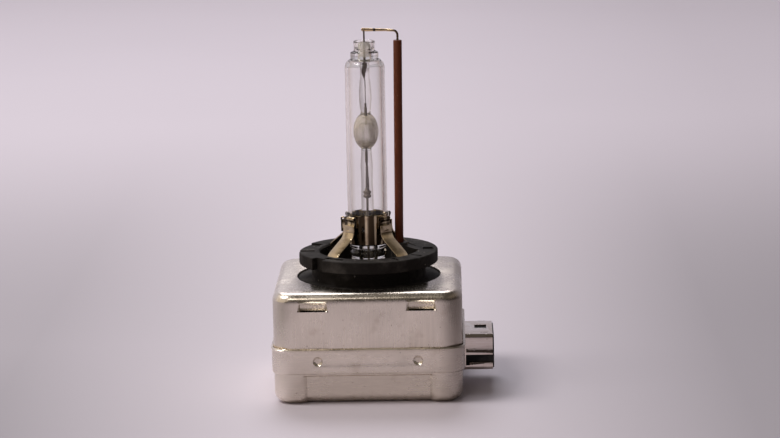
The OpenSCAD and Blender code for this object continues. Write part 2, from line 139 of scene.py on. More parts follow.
def pick(piece, kind, test):
    """In edit mode, selects the points, edges or faces whose middle and direction pass a test."""
    bpy.ops.mesh.select_mode(type=kind)
    bpy.ops.mesh.select_all(action="DESELECT")
    mesh = bmesh.from_edit_mesh(piece.data)
    if kind == "FACE":
        for face in mesh.faces:
            face.select_set(bool(test(face.calc_center_median(), face.normal)))
    elif kind == "EDGE":
        for edge in mesh.edges:
            start, end = (point.co for point in edge.verts)
            edge.select_set(bool(test((start + end) / 2, (end - start).normalized())))
    else:
        for point in mesh.verts:
            point.select_set(bool(test(point.co, point.normal)))
    mesh.select_flush_mode()
    bmesh.update_edit_mesh(piece.data)


def slice_faces(piece, test, point, normal):
    """Cuts the chosen faces along a plane, and leaves both sides in place."""
    pick(piece, "FACE", test)
    bpy.ops.mesh.bisect(plane_co=point, plane_no=normal, threshold=0.0005)


def apply_modifier(piece, kind, **settings):
    choose(piece)
    bpy.ops.object.modifier_add(type=kind)
    modifier = piece.modifiers[-1]
    for name, value in settings.items():
        setattr(modifier, name, value)
    bpy.ops.object.modifier_apply(modifier=modifier.name)


def combine(piece, tool, how):
    """Cuts or joins a piece with a tool body, which is used up."""
    apply_modifier(piece, "BOOLEAN", operation=how, object=tool, solver="EXACT")
    bpy.data.objects.remove(tool)


def cut(piece, tool):
    combine(piece, tool, "DIFFERENCE")


def weld(piece, *others):
    for other in others:
        combine(piece, other, "UNION")


def gather(piece, *others):
    """Joins separate bodies into one object without merging them."""
    choose(piece)
    for other in others:
        other.select_set(True)
    bpy.ops.object.join()
    return piece


def soften(piece, width, segments=2, angle=32):
    """Breaks the sharp edges with a small round."""
    apply_modifier(
        piece, "BEVEL", width=width, segments=segments, limit_method="ANGLE",
        angle_limit=math.radians(angle), harden_normals=False, use_clamp_overlap=True,
    )


def thicken(piece, thickness, offset=-1.0):
    apply_modifier(piece, "SOLIDIFY", thickness=thickness, offset=offset, use_even_offset=True)


def round_edges(piece, test, radius, segments):
    """Rounds the edges whose middle and direction pass a test."""
    edit(piece)
    pick(piece, "EDGE", test)
    bpy.ops.mesh.bevel(offset=radius, segments=segments, affect="EDGES")
    leave()


def block(low_corner, high_corner):
    """Box between two corners, in millimetres."""
    start, end = Vector(low_corner), Vector(high_corner)
    clear_selection()
    bpy.ops.mesh.primitive_cube_add(size=1, location=(start + end) / 2, scale=end - start)
    piece = bpy.context.object
    fix_place(piece)
    return piece


def drum(radius, start, end, vertices=64):
    """Round bar between two points."""
    start, end = Vector(start), Vector(end)
    clear_selection()
    bpy.ops.mesh.primitive_cylinder_add(vertices=vertices, radius=radius, depth=(end - start).length)
    piece = bpy.context.object
    piece.rotation_euler = (end - start).to_track_quat("Z", "Y").to_euler()
    piece.location = (start + end) / 2
    fix_place(piece)
    return piece


def ball(radius, centre, segments=32):
    clear_selection()
    bpy.ops.mesh.primitive_uv_sphere_add(
        segments=segments, ring_count=segments // 2, radius=radius, location=centre)
    piece = bpy.context.object
    fix_place(piece)
    return piece


def chain(points):
    """A bent line through points, drawn from one point by extruding it step by step."""
    clear_selection()
    bpy.ops.mesh.primitive_plane_add(size=1)
    piece = bpy.context.object
    edit(piece)
    pick_all()
    bpy.ops.mesh.merge(type="CENTER")
    bpy.ops.mesh.select_mode(type="VERT")
    pick_all()
    bpy.ops.transform.translate(value=points[0])
    for last, point in zip(points, points[1:]):
        step = Vector(point) - Vector(last)
        bpy.ops.mesh.extrude_vertices_move(TRANSFORM_OT_translate={"value": step})
    leave()
    return piece


def turned(outline, steps=96):
    """Lathe work: an outline of (radius, height) points spun about the burner's axis."""
    piece = chain([(radius, 0, height) for radius, height in outline])
    edit(piece)
    pick_all()
    bpy.ops.mesh.spin(steps=steps, angle=TURN, center=(0, 0, 0), axis=(0, 0, 1))
    close_up()
    leave()
    return piece


def ellipse(radius, half, centre, first, last, count):
    """Points of part of an ellipse about a height on the axis, angles in degrees from the level."""
    points = []
    for i in range(count + 1):
        angle = math.radians(first + (last - first) * i / count)
        points.append((radius * math.cos(angle), centre + half * math.sin(angle)))
    return points


def rounded(points, setback, count=6):
    """Line whose corners are replaced by small arcs that start setback before each corner."""
    points = [Vector(point) for point in points]
    line = [points[0]]
    for before, corner, after in zip(points, points[1:], points[2:]):
        start = corner + (before - corner).normalized() * min(setback, (before - corner).length * 0.48)
        end = corner + (after - corner).normalized() * min(setback, (after - corner).length * 0.48)
        for i in range(count + 1):
            t = i / count
            line.append(start * (1 - t) ** 2 + corner * 2 * t * (1 - t) + end * t ** 2)
    line.append(points[-1])
    return [tuple(point) for point in line]


def bent(outline, setback, count=6):
    """The same for a line of (x, z) points in one plane."""
    return [(x, z) for x, y, z in rounded([(x, 0, z) for x, z in outline], setback, count)]


def strip(path, width, thickness):
    """Bent sheet strip: a line in the XZ plane, widened along Y and given its sheet thickness."""
    piece = chain([(x, -width / 2, z) for x, z in path])
    edit(piece)
    bpy.ops.mesh.select_mode(type="EDGE")
    pick_all()
    extrude((0, width, 0))
    pick_all()
    bpy.ops.mesh.normals_make_consistent(inside=False)
    leave()
    thicken(piece, thickness, 0.0)
    note_grain(piece, path)
    return piece


def note_grain(piece, path):
    """Stores how far each point lies along and across a strip, for its grain."""
    lengths = [0.0]
    for last, point in zip(path, path[1:]):
        lengths.append(lengths[-1] + math.dist(last, point))
    grain = piece.data.attributes.new("grain", "FLOAT_VECTOR", "POINT")
    for i, vertex in enumerate(piece.data.vertices):
        place = (vertex.co.x, vertex.co.z)
        nearest = min(range(len(path)), key=lambda k: math.dist(place, path[k]))
        grain.data[i].vector = (vertex.co.y, lengths[nearest], 0)


def wire(points, radius, rings=16):
    """Round wire along a line of points."""
    piece = chain(points)
    choose(piece)
    bpy.ops.object.convert(target="CURVE")
    piece = bpy.context.object
    piece.data.bevel_depth = radius
    piece.data.bevel_resolution = rings // 4
    piece.data.use_fill_caps = True
    bpy.ops.object.convert(target="MESH")
    piece = bpy.context.object
    edit(piece)
    close_up()
    leave()
    return piece


def spun_copy(piece, degrees):
    """Copy with its own mesh, turned about the burner's axis."""
    copy = piece.copy()
    copy.data = piece.data.copy()
    bpy.context.collection.objects.link(copy)
    copy.data.transform(Matrix.Rotation(math.radians(degrees), 4, "Z"))
    return copy


def settle(piece, name, material, nodes, angle=38):
    """Brings a finished piece to metres, shades it, and gives it to the frame."""
    fix_place(piece)
    piece.scale = (MM, MM, MM)
    fix_place(piece)
    choose(piece)
    bpy.ops.object.shade_smooth_by_angle(angle=math.radians(angle))
    piece.name = name
    piece.data.name = name
    piece.data.materials.clear()
    piece.data.materials.append(material)
    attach(piece, "root")
    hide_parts(*nodes)


# ---------------------------------------------------------------- materials

def make_group(name, inputs, outputs):
    """Empty shader group with named sockets. Returns it with its input and output nodes."""
    group = bpy.data.node_groups.new(name, "ShaderNodeTree")
    for label, kind, value in inputs:
        socket = group.interface.new_socket(label, in_out="INPUT", socket_type=kind)
        socket.default_value = value
    for label, kind in outputs:
        group.interface.new_socket(label, in_out="OUTPUT", socket_type=kind)
    return group, group.nodes.new("NodeGroupInput"), group.nodes.new("NodeGroupOutput")


def node(tree, kind, inputs=None, **settings):
    """Adds a node, sets its properties, and fills or links its inputs."""
    made = tree.nodes.new(kind)
    for name, value in settings.items():
        setattr(made, name, value)
    for name, value in (inputs or {}).items():
        socket = made.inputs[name]
        if isinstance(value, bpy.types.NodeSocket):
            tree.links.new(value, socket)
        else:
            socket.default_value = value
    return made


def shared(name, build):
    """A node group that is built the first time it is asked for."""
    return bpy.data.node_groups.get(name) or build(name)


def build_streaks(name):
    """Fine lines drawn along one direction: a noise squeezed by Stretch."""
    group, start, end = make_group(
        name,
        [("Vector", "NodeSocketVector", (0, 0, 0)), ("Stretch", "NodeSocketVector", (1, 1, 1)),
         ("Detail", "NodeSocketFloat", 5.0), ("Contrast", "NodeSocketFloat", 1.0)],
        [("Value", "NodeSocketFloat")],
    )
    scaled = node(group, "ShaderNodeVectorMath", {0: start.outputs["Vector"], 1: start.outputs["Stretch"]},
                  operation="MULTIPLY")
    noise = node(group, "ShaderNodeTexNoise", {
        "Vector": scaled.outputs[0], "Scale": 1.0, "Detail": start.outputs["Detail"], "Roughness": 0.62})
    centred = maths(group, "SUBTRACT", noise.outputs["Fac"], 0.5)
    spread = maths(group, "MULTIPLY", centred, start.outputs["Contrast"])
    group.links.new(maths(group, "ADD", spread, 0.5, clamp=True), end.inputs["Value"])
    return group


def build_patches(name):
    """Soft blotches, from 0 to 1, that rise above a level."""
    group, start, end = make_group(
        name,
        [("Vector", "NodeSocketVector", (0, 0, 0)), ("Size", "NodeSocketFloat", 100.0),
         ("From", "NodeSocketFloat", 0.5), ("To", "NodeSocketFloat", 0.7)],
        [("Mask", "NodeSocketFloat")],
    )
    noise = node(group, "ShaderNodeTexNoise", {
        "Vector": start.outputs["Vector"], "Scale": start.outputs["Size"], "Detail": 4.0, "Roughness": 0.55})
    mask = smooth_step(group, noise.outputs["Fac"], start.outputs["From"], start.outputs["To"])
    group.links.new(mask, end.inputs["Mask"])
    return group


def build_specks(name):
    """Small dots scattered over a surface."""
    group, start, end = make_group(
        name,
        [("Vector", "NodeSocketVector", (0, 0, 0)), ("Size", "NodeSocketFloat", 500.0),
         ("Radius", "NodeSocketFloat", 0.12), ("Share", "NodeSocketFloat", 0.2)],
        [("Mask", "NodeSocketFloat")],
    )
    cells = node(group, "ShaderNodeTexVoronoi",
                 {"Vector": start.outputs["Vector"], "Scale": start.outputs["Size"]})
    near = maths(group, "LESS_THAN", cells.outputs["Distance"], start.outputs["Radius"])
    level = node(group, "ShaderNodeSeparateColor", {"Color": cells.outputs["Color"]})
    chosen = maths(group, "LESS_THAN", level.outputs[0], start.outputs["Share"])
    group.links.new(maths(group, "MULTIPLY", near, chosen), end.inputs["Mask"])
    return group


def place_group(tree, name, build, **inputs):
    return node(tree, "ShaderNodeGroup", inputs, node_tree=shared(name, build))


def streaks(tree, vector, stretch, detail=5.0, contrast=1.0):
    return place_group(tree, "drawn streaks", build_streaks, Vector=vector, Stretch=stretch,
                       Detail=detail, Contrast=contrast).outputs[0]


def patches(tree, vector, size, start, end):
    return place_group(tree, "soft patches", build_patches, Vector=vector, Size=size,
                       From=start, To=end).outputs[0]


def specks(tree, vector, size, radius, share):
    return place_group(tree, "scattered specks", build_specks, Vector=vector, Size=size,
                       Radius=radius, Share=share).outputs[0]


def maths(tree, operation, *values, clamp=False):
    """One step of arithmetic on sockets and numbers."""
    step = node(tree, "ShaderNodeMath", dict(enumerate(values)), operation=operation, use_clamp=clamp)
    return step.outputs[0]


def mixed(tree, factor, first, second):
    """Mixes two colours, given as sockets or plain colours."""
    made = node(tree, "ShaderNodeMix", data_type="RGBA")
    for place, value in (("Factor", factor), ("A", first), ("B", second)):
        socket = next(s for s in made.inputs if s.name == place and s.enabled)
        if isinstance(value, bpy.types.NodeSocket):
            tree.links.new(value, socket)
        else:
            socket.default_value = value if place == "Factor" else (*value[:3], 1)
    return next(s for s in made.outputs if s.enabled)


def ranged(tree, value, low_out, high_out, low_in=0.0, high_in=1.0):
    """Takes a value from one range to another, in a straight line."""
    return node(tree, "ShaderNodeMapRange", {
        "Value": value, "From Min": low_in, "From Max": high_in, "To Min": low_out, "To Max": high_out,
    }).outputs[0]


def smooth_step(tree, value, start, end, top=1.0):
    """Rises softly from nothing to its top while a value goes from start to end."""
    return node(tree, "ShaderNodeMapRange", {
        "Value": value, "From Min": start, "From Max": end, "To Max": top,
    }, interpolation_type="SMOOTHSTEP").outputs[0]


def stained(tree, tone, mask, share, colour):
    """Lays up to a share of a colour over a tone where a mask is high."""
    return mixed(tree, ranged(tree, mask, 0.0, share), tone, colour)


def bumped(tree, height, distance, strength=1.0, normal=None):
    inputs = {"Height": height, "Distance": distance, "Strength": strength}
    if normal is not None:
        inputs["Normal"] = normal
    return node(tree, "ShaderNodeBump", inputs).outputs[0]


def start_material(name, **values):
    """New material with its Principled shader set.

    Returns the material with its tree, shader and object coordinates.
    """
    material = bpy.data.materials.get(name) or bpy.data.materials.new(name)
    material.use_nodes = True
    tree = material.node_tree
    shader = next(n for n in tree.nodes if n.type == "BSDF_PRINCIPLED")
    for label, value in values.items():
        shader.inputs[label.replace("_", " ")].default_value = value
    coordinates = node(tree, "ShaderNodeTexCoord").outputs["Object"]
    return material, tree, shader, coordinates


def feed(tree, shader, **sockets):
    for label, socket in sockets.items():
        tree.links.new(socket, shader.inputs[label.replace("_", " ")])


def shaded(colour, factor):
    return tuple(channel * factor for channel in colour[:3])


def grained(name, grain, tones, stains, rough, bump, **values):
    """Grain between two tones, with stains over it. The gloss and the relief follow the grain."""
    material, tree, shader, place = start_material(name, **values)
    marks = streaks(tree, place, *grain)
    tone = mixed(tree, marks, *tones)
    for pattern, spread, share, colour in stains:
        tone = stained(tree, tone, pattern(tree, place, *spread), share, colour)
    feed(tree, shader, Base_Color=tone, Roughness=ranged(tree, marks, *rough),
         Normal=bumped(tree, marks, *bump))
    return material


def drawn_sheet(name, stretch):
    """Satin drawn aluminium: grain along the draw, dull and stained patches, dark specks, painted shade on the
    roof towards the right and on the right-hand side, and a painted highlight on the left-hand side.
    """
    colour = colours().can
    material, tree, shader, place = start_material(name, Metallic=1.0, Anisotropic=0.3)
    grain = streaks(tree, place, stretch, 6.0, 1.6)
    coarse = streaks(tree, place, tuple(s * 0.2 for s in stretch), 3.0, 1.8)
    dull = patches(tree, place, 90.0, 0.42, 0.7)
    stain = patches(tree, place, 240.0, 0.56, 0.72)
    dots = specks(tree, place, 1100.0, 0.13, 0.08)
    tone = mixed(tree, grain, shaded(colour, 0.86), shaded(colour, 1.08))
    tone = stained(tree, tone, coarse, 0.3, shaded(colour, 0.82))
    tone = stained(tree, tone, stain, 0.3, (0.42, 0.34, 0.26))
    tone = stained(tree, tone, dots, 0.6, (0.16, 0.12, 0.09))
    spot = node(tree, "ShaderNodeSeparateXYZ", {"Vector": place})
    across, roof_height = spot.outputs["X"], high("upper_can").z * MM
    roof = ranged(tree, spot.outputs["Z"], 0.0, 1.0, roof_height - 0.0003, roof_height - 0.0001)
    # Painted shade: darkens the roof towards the right, and the right-hand side of both cans, standing in for
    # the dark that the metal reflects there.
    painted_shade = maths(tree, "MULTIPLY", roof, ranged(tree, across, 0.0, 0.42, -0.008, 0.018))
    painted_shade = maths(tree, "MAXIMUM", painted_shade, ranged(tree, across, 0.0, 0.6, 0.0158, 0.0198))
    tone = mixed(tree, painted_shade, tone, (0.2, 0.16, 0.14))
    # Painted highlight: lightens the left-hand side of both cans, standing in for the key light's reflection
    # there.
    painted_highlight = ranged(tree, across, 0.6, 0.0, -0.0202, -0.0165)
    tone = mixed(tree, painted_highlight, tone, (0.95, 0.88, 0.79))
    rough = maths(tree, "ADD", ranged(tree, grain, 0.17, 0.32), ranged(tree, dull, 0.0, 0.12))
    normal = bumped(tree, grain, 0.00002, 0.35)
    normal = bumped(tree, patches(tree, place, 55.0, 0.3, 0.8), 0.00022, 0.35, normal)
    feed(tree, shader, Base_Color=tone, Roughness=rough, Normal=normal)
    return material


def moulded(name, colour, rough):
    """Matt moulded plastic with a fine texture and a little dust."""
    dust = (patches, (160.0, 0.45, 0.75), 0.12, (0.35, 0.32, 0.3))
    lint = (specks, (700.0, 0.14, 0.16), 0.24, (0.5, 0.46, 0.42))
    return grained(
        name, ((1700, 1700, 1700), 4.0, 1.5), (shaded(colour, 0.8), shaded(colour, 1.25)), [dust, lint],
        (rough - 0.08, rough + 0.1), (0.00008, 0.8), Specular_IOR_Level=0.07)


def dull_metal(name, colour, rough):
    """Hot-worked metal: fine drawn marks and heat-stained clouds."""
    heat = (patches, (900.0, 0.42, 0.7), 0.45, (0.12, 0.08, 0.05))
    return grained(
        name, ((3000, 3000, 500), 4.0, 1.6), (shaded(colour, 0.7), shaded(colour, 1.3)), [heat],
        (rough - 0.08, rough + 0.12), (0.00002, 0.4), Metallic=1.0)


def fired(name, colour, rough):
    """Fired or sintered body: pores, cloudy tone and small dark grains."""
    cloud = (patches, (300.0, 0.4, 0.72), 0.3, shaded(colour, 0.6))
    grains = (specks, (1400.0, 0.16, 0.12), 0.5, shaded(colour, 0.25))
    return grained(
        name, ((1800, 1800, 1800), 4.0, 1.5), (shaded(colour, 0.82), shaded(colour, 1.12)), [cloud, grains],
        (rough - 0.08, rough + 0.1), (0.00003, 0.5))


# ---------------------------------------------------------------- settings

def length(name, description, default):
    return bpy.props.FloatProperty(
        name=name, description=description, default=default, unit="LENGTH", subtype="DISTANCE")


def brightness(name, description, default):
    return bpy.props.FloatProperty(name=name, description=description, default=default, min=0)


def finish_colour(name, description, default):
    return bpy.props.FloatVectorProperty(
        name=name, description=description, default=default, subtype="COLOR", min=0, max=1)


class BulbSizes(bpy.types.PropertyGroup):
    """Sizes that the frame's boxes don't give."""

    corner: length("Can corner", "Radius of the cans' upright corners", 0.0045)
    roof_edge: length("Roof edge", "Rounding of the upper can's top edge", 0.002)
    foot_edge: length("Foot edge", "Rounding of the lower can's bottom edge", 0.0025)
    sheet: length("Sheet", "Sheet thickness of both cans", 0.00055)
    panel: length("Panel width", "Width of the sunk panel in the lower can", 0.028)
    roof_hole: length("Roof hole", "Radius of the round hole in the upper can", 0.0166)
    well: length("Well", "Radius of the base's open well", 0.0112)
    ring: length("Ring thickness", "Thickness of the reference ring", 0.0027)
    stem: length("Stem", "Radius of the arc tube's stems", 0.0014)
    lead: length("Lead", "Radius of the lead wires", 0.0002)


class BulbColours(bpy.types.PropertyGroup):
    """Colours of the main finishes."""

    can: finish_colour("Can", "Drawn aluminium of the cans", (0.76, 0.69, 0.6))
    base: finish_colour("Base", "Black moulding of the burner base", (0.016, 0.0138, 0.0128))
    steel: finish_colour("Strap steel", "Warm-tinted steel of the clamp and straps", (0.7, 0.58, 0.4))
    ceramic: finish_colour("Ceramic", "Brown ceramic of the return line", (0.12, 0.032, 0.014))
    floor: finish_colour("Floor", "Pale table under the lamp", (0.62, 0.57, 0.64))


class BulbStudio(bpy.types.PropertyGroup):
    """Camera and lights."""

    lens: bpy.props.FloatProperty(
        name="Lens", description="Focal length of the camera in millimetres",
        default=128.2, min=20, max=300)
    key: brightness("Key light", "Power of the light at the upper left, in watts", 7.0)
    back: brightness("Back light", "Power of the light over the floor behind, in watts", 6.6)
    front: brightness("Front light", "Power of the small light above the front, in watts", 1.3)
    ambient: brightness("Ambient", "Brightness of the surroundings", 0.62)


# ---------------------------------------------------------------- stage

class BULB_OT_studio(bpy.types.Operator):
    """Sets the camera, the pale floor and the soft lights"""
    bl_idname = "bulb.studio"
    bl_label = "Studio"

    def execute(self, context):
        studio = context.scene.bulb_studio
        self.camera(context, studio)
        self.floor()
        self.lights(context, studio)
        return {"FINISHED"}

    def camera(self, context, studio):
        place = Vector((18.91, -628.68, 126.59)) * MM
        aim = Vector((5.12, 0, 7.01)) * MM
        roll = math.radians(1.124)
        clear_selection()
        bpy.ops.object.camera_add(location=place)
        camera = context.object
        camera.name = "camera"
        look = (aim - place).to_track_quat("-Z", "Y").to_matrix()
        camera.rotation_euler = (look @ Matrix.Rotation(-roll, 3, "Z")).to_euler()
        camera.data.lens = studio.lens
        camera.data.sensor_width = 36
        camera.data.clip_start = 0.01
        context.scene.camera = camera

    def floor(self):
        clear_selection()
        bpy.ops.mesh.primitive_plane_add(size=8, location=(0, 0, low("lower_can").z * MM))
        floor = bpy.context.object
        floor.name = "floor"
        fix_place(floor)
        material, tree, shader, place = start_material("pale table", Roughness=0.62)
        colour = colours().floor
        cloud = patches(tree, place, 6.0, 0.3, 0.75)
        paper = streaks(tree, place, (900, 900, 900), 3.0, 1.0)
        tone = mixed(tree, ranged(tree, cloud, 0.0, 0.25), colour, shaded(colour, 0.93))
        tone = stained(tree, tone, paper, 0.08, shaded(colour, 0.85))
        # Painted shade: the table darkens beside the lamp.
        tone = mixed(tree, self.painted_shade_sides(tree, place), tone, shaded(colour, 0.42))
        feed(tree, shader, Base_Color=tone, Normal=bumped(tree, paper, 0.00002, 0.2))
        floor.data.materials.append(material)

    def painted_shade_sides(self, tree, place):
        """Painted shade on the table: it is darker beside the lamp, at its near left and towards the right,
        where the lamp's light falls off.
        """
        way = node(tree, "ShaderNodeSeparateXYZ", {"Vector": place})
        beside = ranged(tree, maths(tree, "ABSOLUTE", way.outputs["X"]), 0.0, 0.72, 0.012, 0.085)
        near = smooth_step(tree, way.outputs["Y"], 0.42, 0.05)
        right = ranged(tree, way.outputs["X"], 0.0, 0.25, 0.0, 0.13)
        corner = maths(tree, "MULTIPLY", ranged(tree, way.outputs["X"], 0.3, 0.0, -0.1, -0.02),
                       ranged(tree, way.outputs["Y"], 1.0, 0.0, -0.05, 0.04))
        both = maths(tree, "ADD", maths(tree, "MULTIPLY", beside, near), corner)
        return maths(tree, "ADD", both, right, clamp=True)

    def lights(self, context, studio):
        self.area("key", (-0.62, -0.12, 0.95), 0.45, studio.key, (1.0, 0.965, 0.93))
        self.area("back", (-0.1, 0.75, 0.9), 0.7, studio.back, (0.97, 0.96, 1.0))
        self.area("front", (-0.3, -0.9, 0.9), 0.35, studio.front, (1.0, 0.92, 0.84))
        self.dark_cards()
        self.surroundings(context, studio)
        context.scene.view_settings.view_transform = "Standard"

    def dark_cards(self):
        """Dark cards in front and at the right, which only show as reflections in the metal."""
        front = block((-160, -152, -31), (160, -150, 30))
        right = block((120, -140, -31), (122, 60, 20))
        gather(front, right)
        front.name = "dark cards"
        material, tree, shader, place = start_material("dark card", Roughness=0.8)
        paper = streaks(tree, place, (300, 300, 300), 3.0, 1.0)
        feed(tree, shader, Base_Color=mixed(tree, paper, (0.045, 0.036, 0.03), (0.07, 0.056, 0.045)))
        front.data.materials.append(material)
        front.visible_camera = front.visible_diffuse = False
        front.visible_shadow = front.visible_transmission = False

    def surroundings(self, context, studio):
        """Pale wall behind, warm window light at the left and the right, and a dim room in front."""
        world = bpy.data.worlds.new("surroundings")
        context.scene.world = world
        world.use_nodes = True
        tree = world.node_tree
        background = next(n for n in tree.nodes if n.type == "BACKGROUND")
        sky = node(tree, "ShaderNodeTexCoord").outputs["Generated"]
        way = node(tree, "ShaderNodeSeparateXYZ", {"Vector": sky})

        def rise(axis, start, end, top=1.0):
            return smooth_step(tree, way.outputs[axis], start, end, top)

        def times(first, second):
            return maths(tree, "MULTIPLY", first, second)

        level, high_up = rise("Z", 0.85, 0.4), rise("Z", 0.95, 0.65)
        wall = times(times(rise("Y", -0.1, 0.6), level), ranged(tree, rise("X", -0.1, 0.6), 1.0, 0.62))
        left = times(rise("X", -0.15, -0.7), high_up)
        right = times(rise("X", 0.35, 0.8, 0.5), times(high_up, rise("Z", 0.25, 0.5)))
        room = mixed(tree, left, (0.15, 0.13, 0.11), (1.05, 0.9, 0.74))
        room = mixed(tree, right, room, (0.6, 0.5, 0.4))
        tree.links.new(mixed(tree, wall, room, (0.86, 0.8, 0.88)), background.inputs["Color"])
        background.inputs["Strength"].default_value = studio.ambient

    def area(self, name, place, size, power, colour):
        clear_selection()
        bpy.ops.object.light_add(type="AREA", location=place)
        light = bpy.context.object
        light.name = name
        light.data.shape = "DISK"
        light.data.size = size
        light.data.energy = power
        light.data.color = colour
        light.rotation_euler = (-Vector(place)).to_track_quat("-Z", "Y").to_euler()
        light.visible_transmission = False


# ---------------------------------------------------------------- cans

def drawn_box(width, depth, bottom, top, corner):
    """Upright box with its four upright edges rounded."""
    piece = block((-width / 2, -depth / 2, bottom), (width / 2, depth / 2, top))
    round_edges(piece, lambda middle, way: abs(way.z) > 0.9, corner, 8)
    return piece


def round_rim(piece, height, radius):
    """Rounds the edges that lie at one height."""
    round_edges(piece, lambda middle, way: abs(middle.z - height) < 0.01 and abs(way.z) < 0.1, radius, 6)


def open_face(piece, test):
    """Takes the faces that pass a test away."""
    edit(piece)
    pick(piece, "FACE", test)
    bpy.ops.mesh.delete(type="FACE")
    leave()


def runs_along_x(middle, way):
    return abs(way.x) > 0.9


def socket_way():
    """Round-cornered block that makes room for the plug socket."""
    start, end = span("connector_shroud")
    tool = block((start.x, start.y - 0.15, start.z - 0.15), (end.x, end.y + 0.15, end.z + 0.15))
    round_edges(tool, runs_along_x, 1.15, 5)
    return tool


class BULB_OT_upper_can(bpy.types.Operator):
    """Upper can: a drawn box with a round hole in its roof and tabs pressed into its sides"""
    bl_idname = "bulb.upper_can"
    bl_label = "Upper Can"

    tabs = (-12.2, 12.2)

    def execute(self, context):
        start, end = span("upper_can")
        piece = drawn_box(end.x - start.x, end.y - start.y, start.z, end.z, mm(sizes().corner))
        round_rim(piece, end.z, mm(sizes().roof_edge))
        open_face(piece, lambda middle, way: way.z < -0.9)
        for side in (-1, 1):
            for centre in self.tabs:
                self.press_tab(piece, side, centre, end.y)
        thicken(piece, mm(sizes().sheet))
        cut(piece, drum(mm(sizes().roof_hole), (0, 0, end.z - 3), (0, 0, end.z + 3), 128))
        cut(piece, socket_way())
        soften(piece, 0.1, 2, 40)
        settle(piece, "upper_can_shell", drawn_sheet("upright drawn sheet", (2600, 2600, 130)),
               ["upper_can"])
        return {"FINISHED"}

    def press_tab(self, piece, side, centre, wall):
        """Slits the wall under a tab and leans the tab inwards, with soft flanks."""
        half, flank = 2.85, 0.5
        top, bottom, slit, lip = -7.15, -9.65, 0.27, 0.12
        columns = [centre + s * (half + f) for s in (-1, 1) for f in (0, flank * 0.5, flank, flank + 0.25)]
        rows = [top + 0.25, top, top - 0.3, (top + bottom) / 2, bottom, bottom - slit, bottom - slit - 0.3]
        inside = lambda middle, way: way.y * side > 0.95
        edit(piece)
        for x in columns:
            slice_faces(piece, inside, (x, 0, 0), (1, 0, 0))
        for z in rows:
            slice_faces(piece, inside, (0, 0, z), (0, 0, 1))
        pick(piece, "FACE", lambda middle, way: way.y * side > 0.95 and abs(middle.x - centre) < half
             and bottom - slit < middle.z < bottom)
        bpy.ops.mesh.delete(type="FACE")
        pushes = {top - 0.3: 0.4, (top + bottom) / 2: 0.5, bottom: 0.62}
        for z, push in pushes.items():
            for reach, share in ((half, 1.0), (half + flank * 0.5, 0.45)):
                pick(piece, "VERT", lambda place, way: abs(place.z - z) < 0.02 and place.y * side > wall - 1
                     and abs(abs(place.x - centre) - reach) < 0.01)
                bpy.ops.transform.translate(value=(0, -side * push * share, 0))
        pick(piece, "VERT", lambda place, way: abs(place.z - bottom + slit) < 0.02
             and place.y * side > wall - 1 and abs(place.x - centre) < half + 0.1)
        bpy.ops.transform.translate(value=(0, side * lip, 0))
        leave()


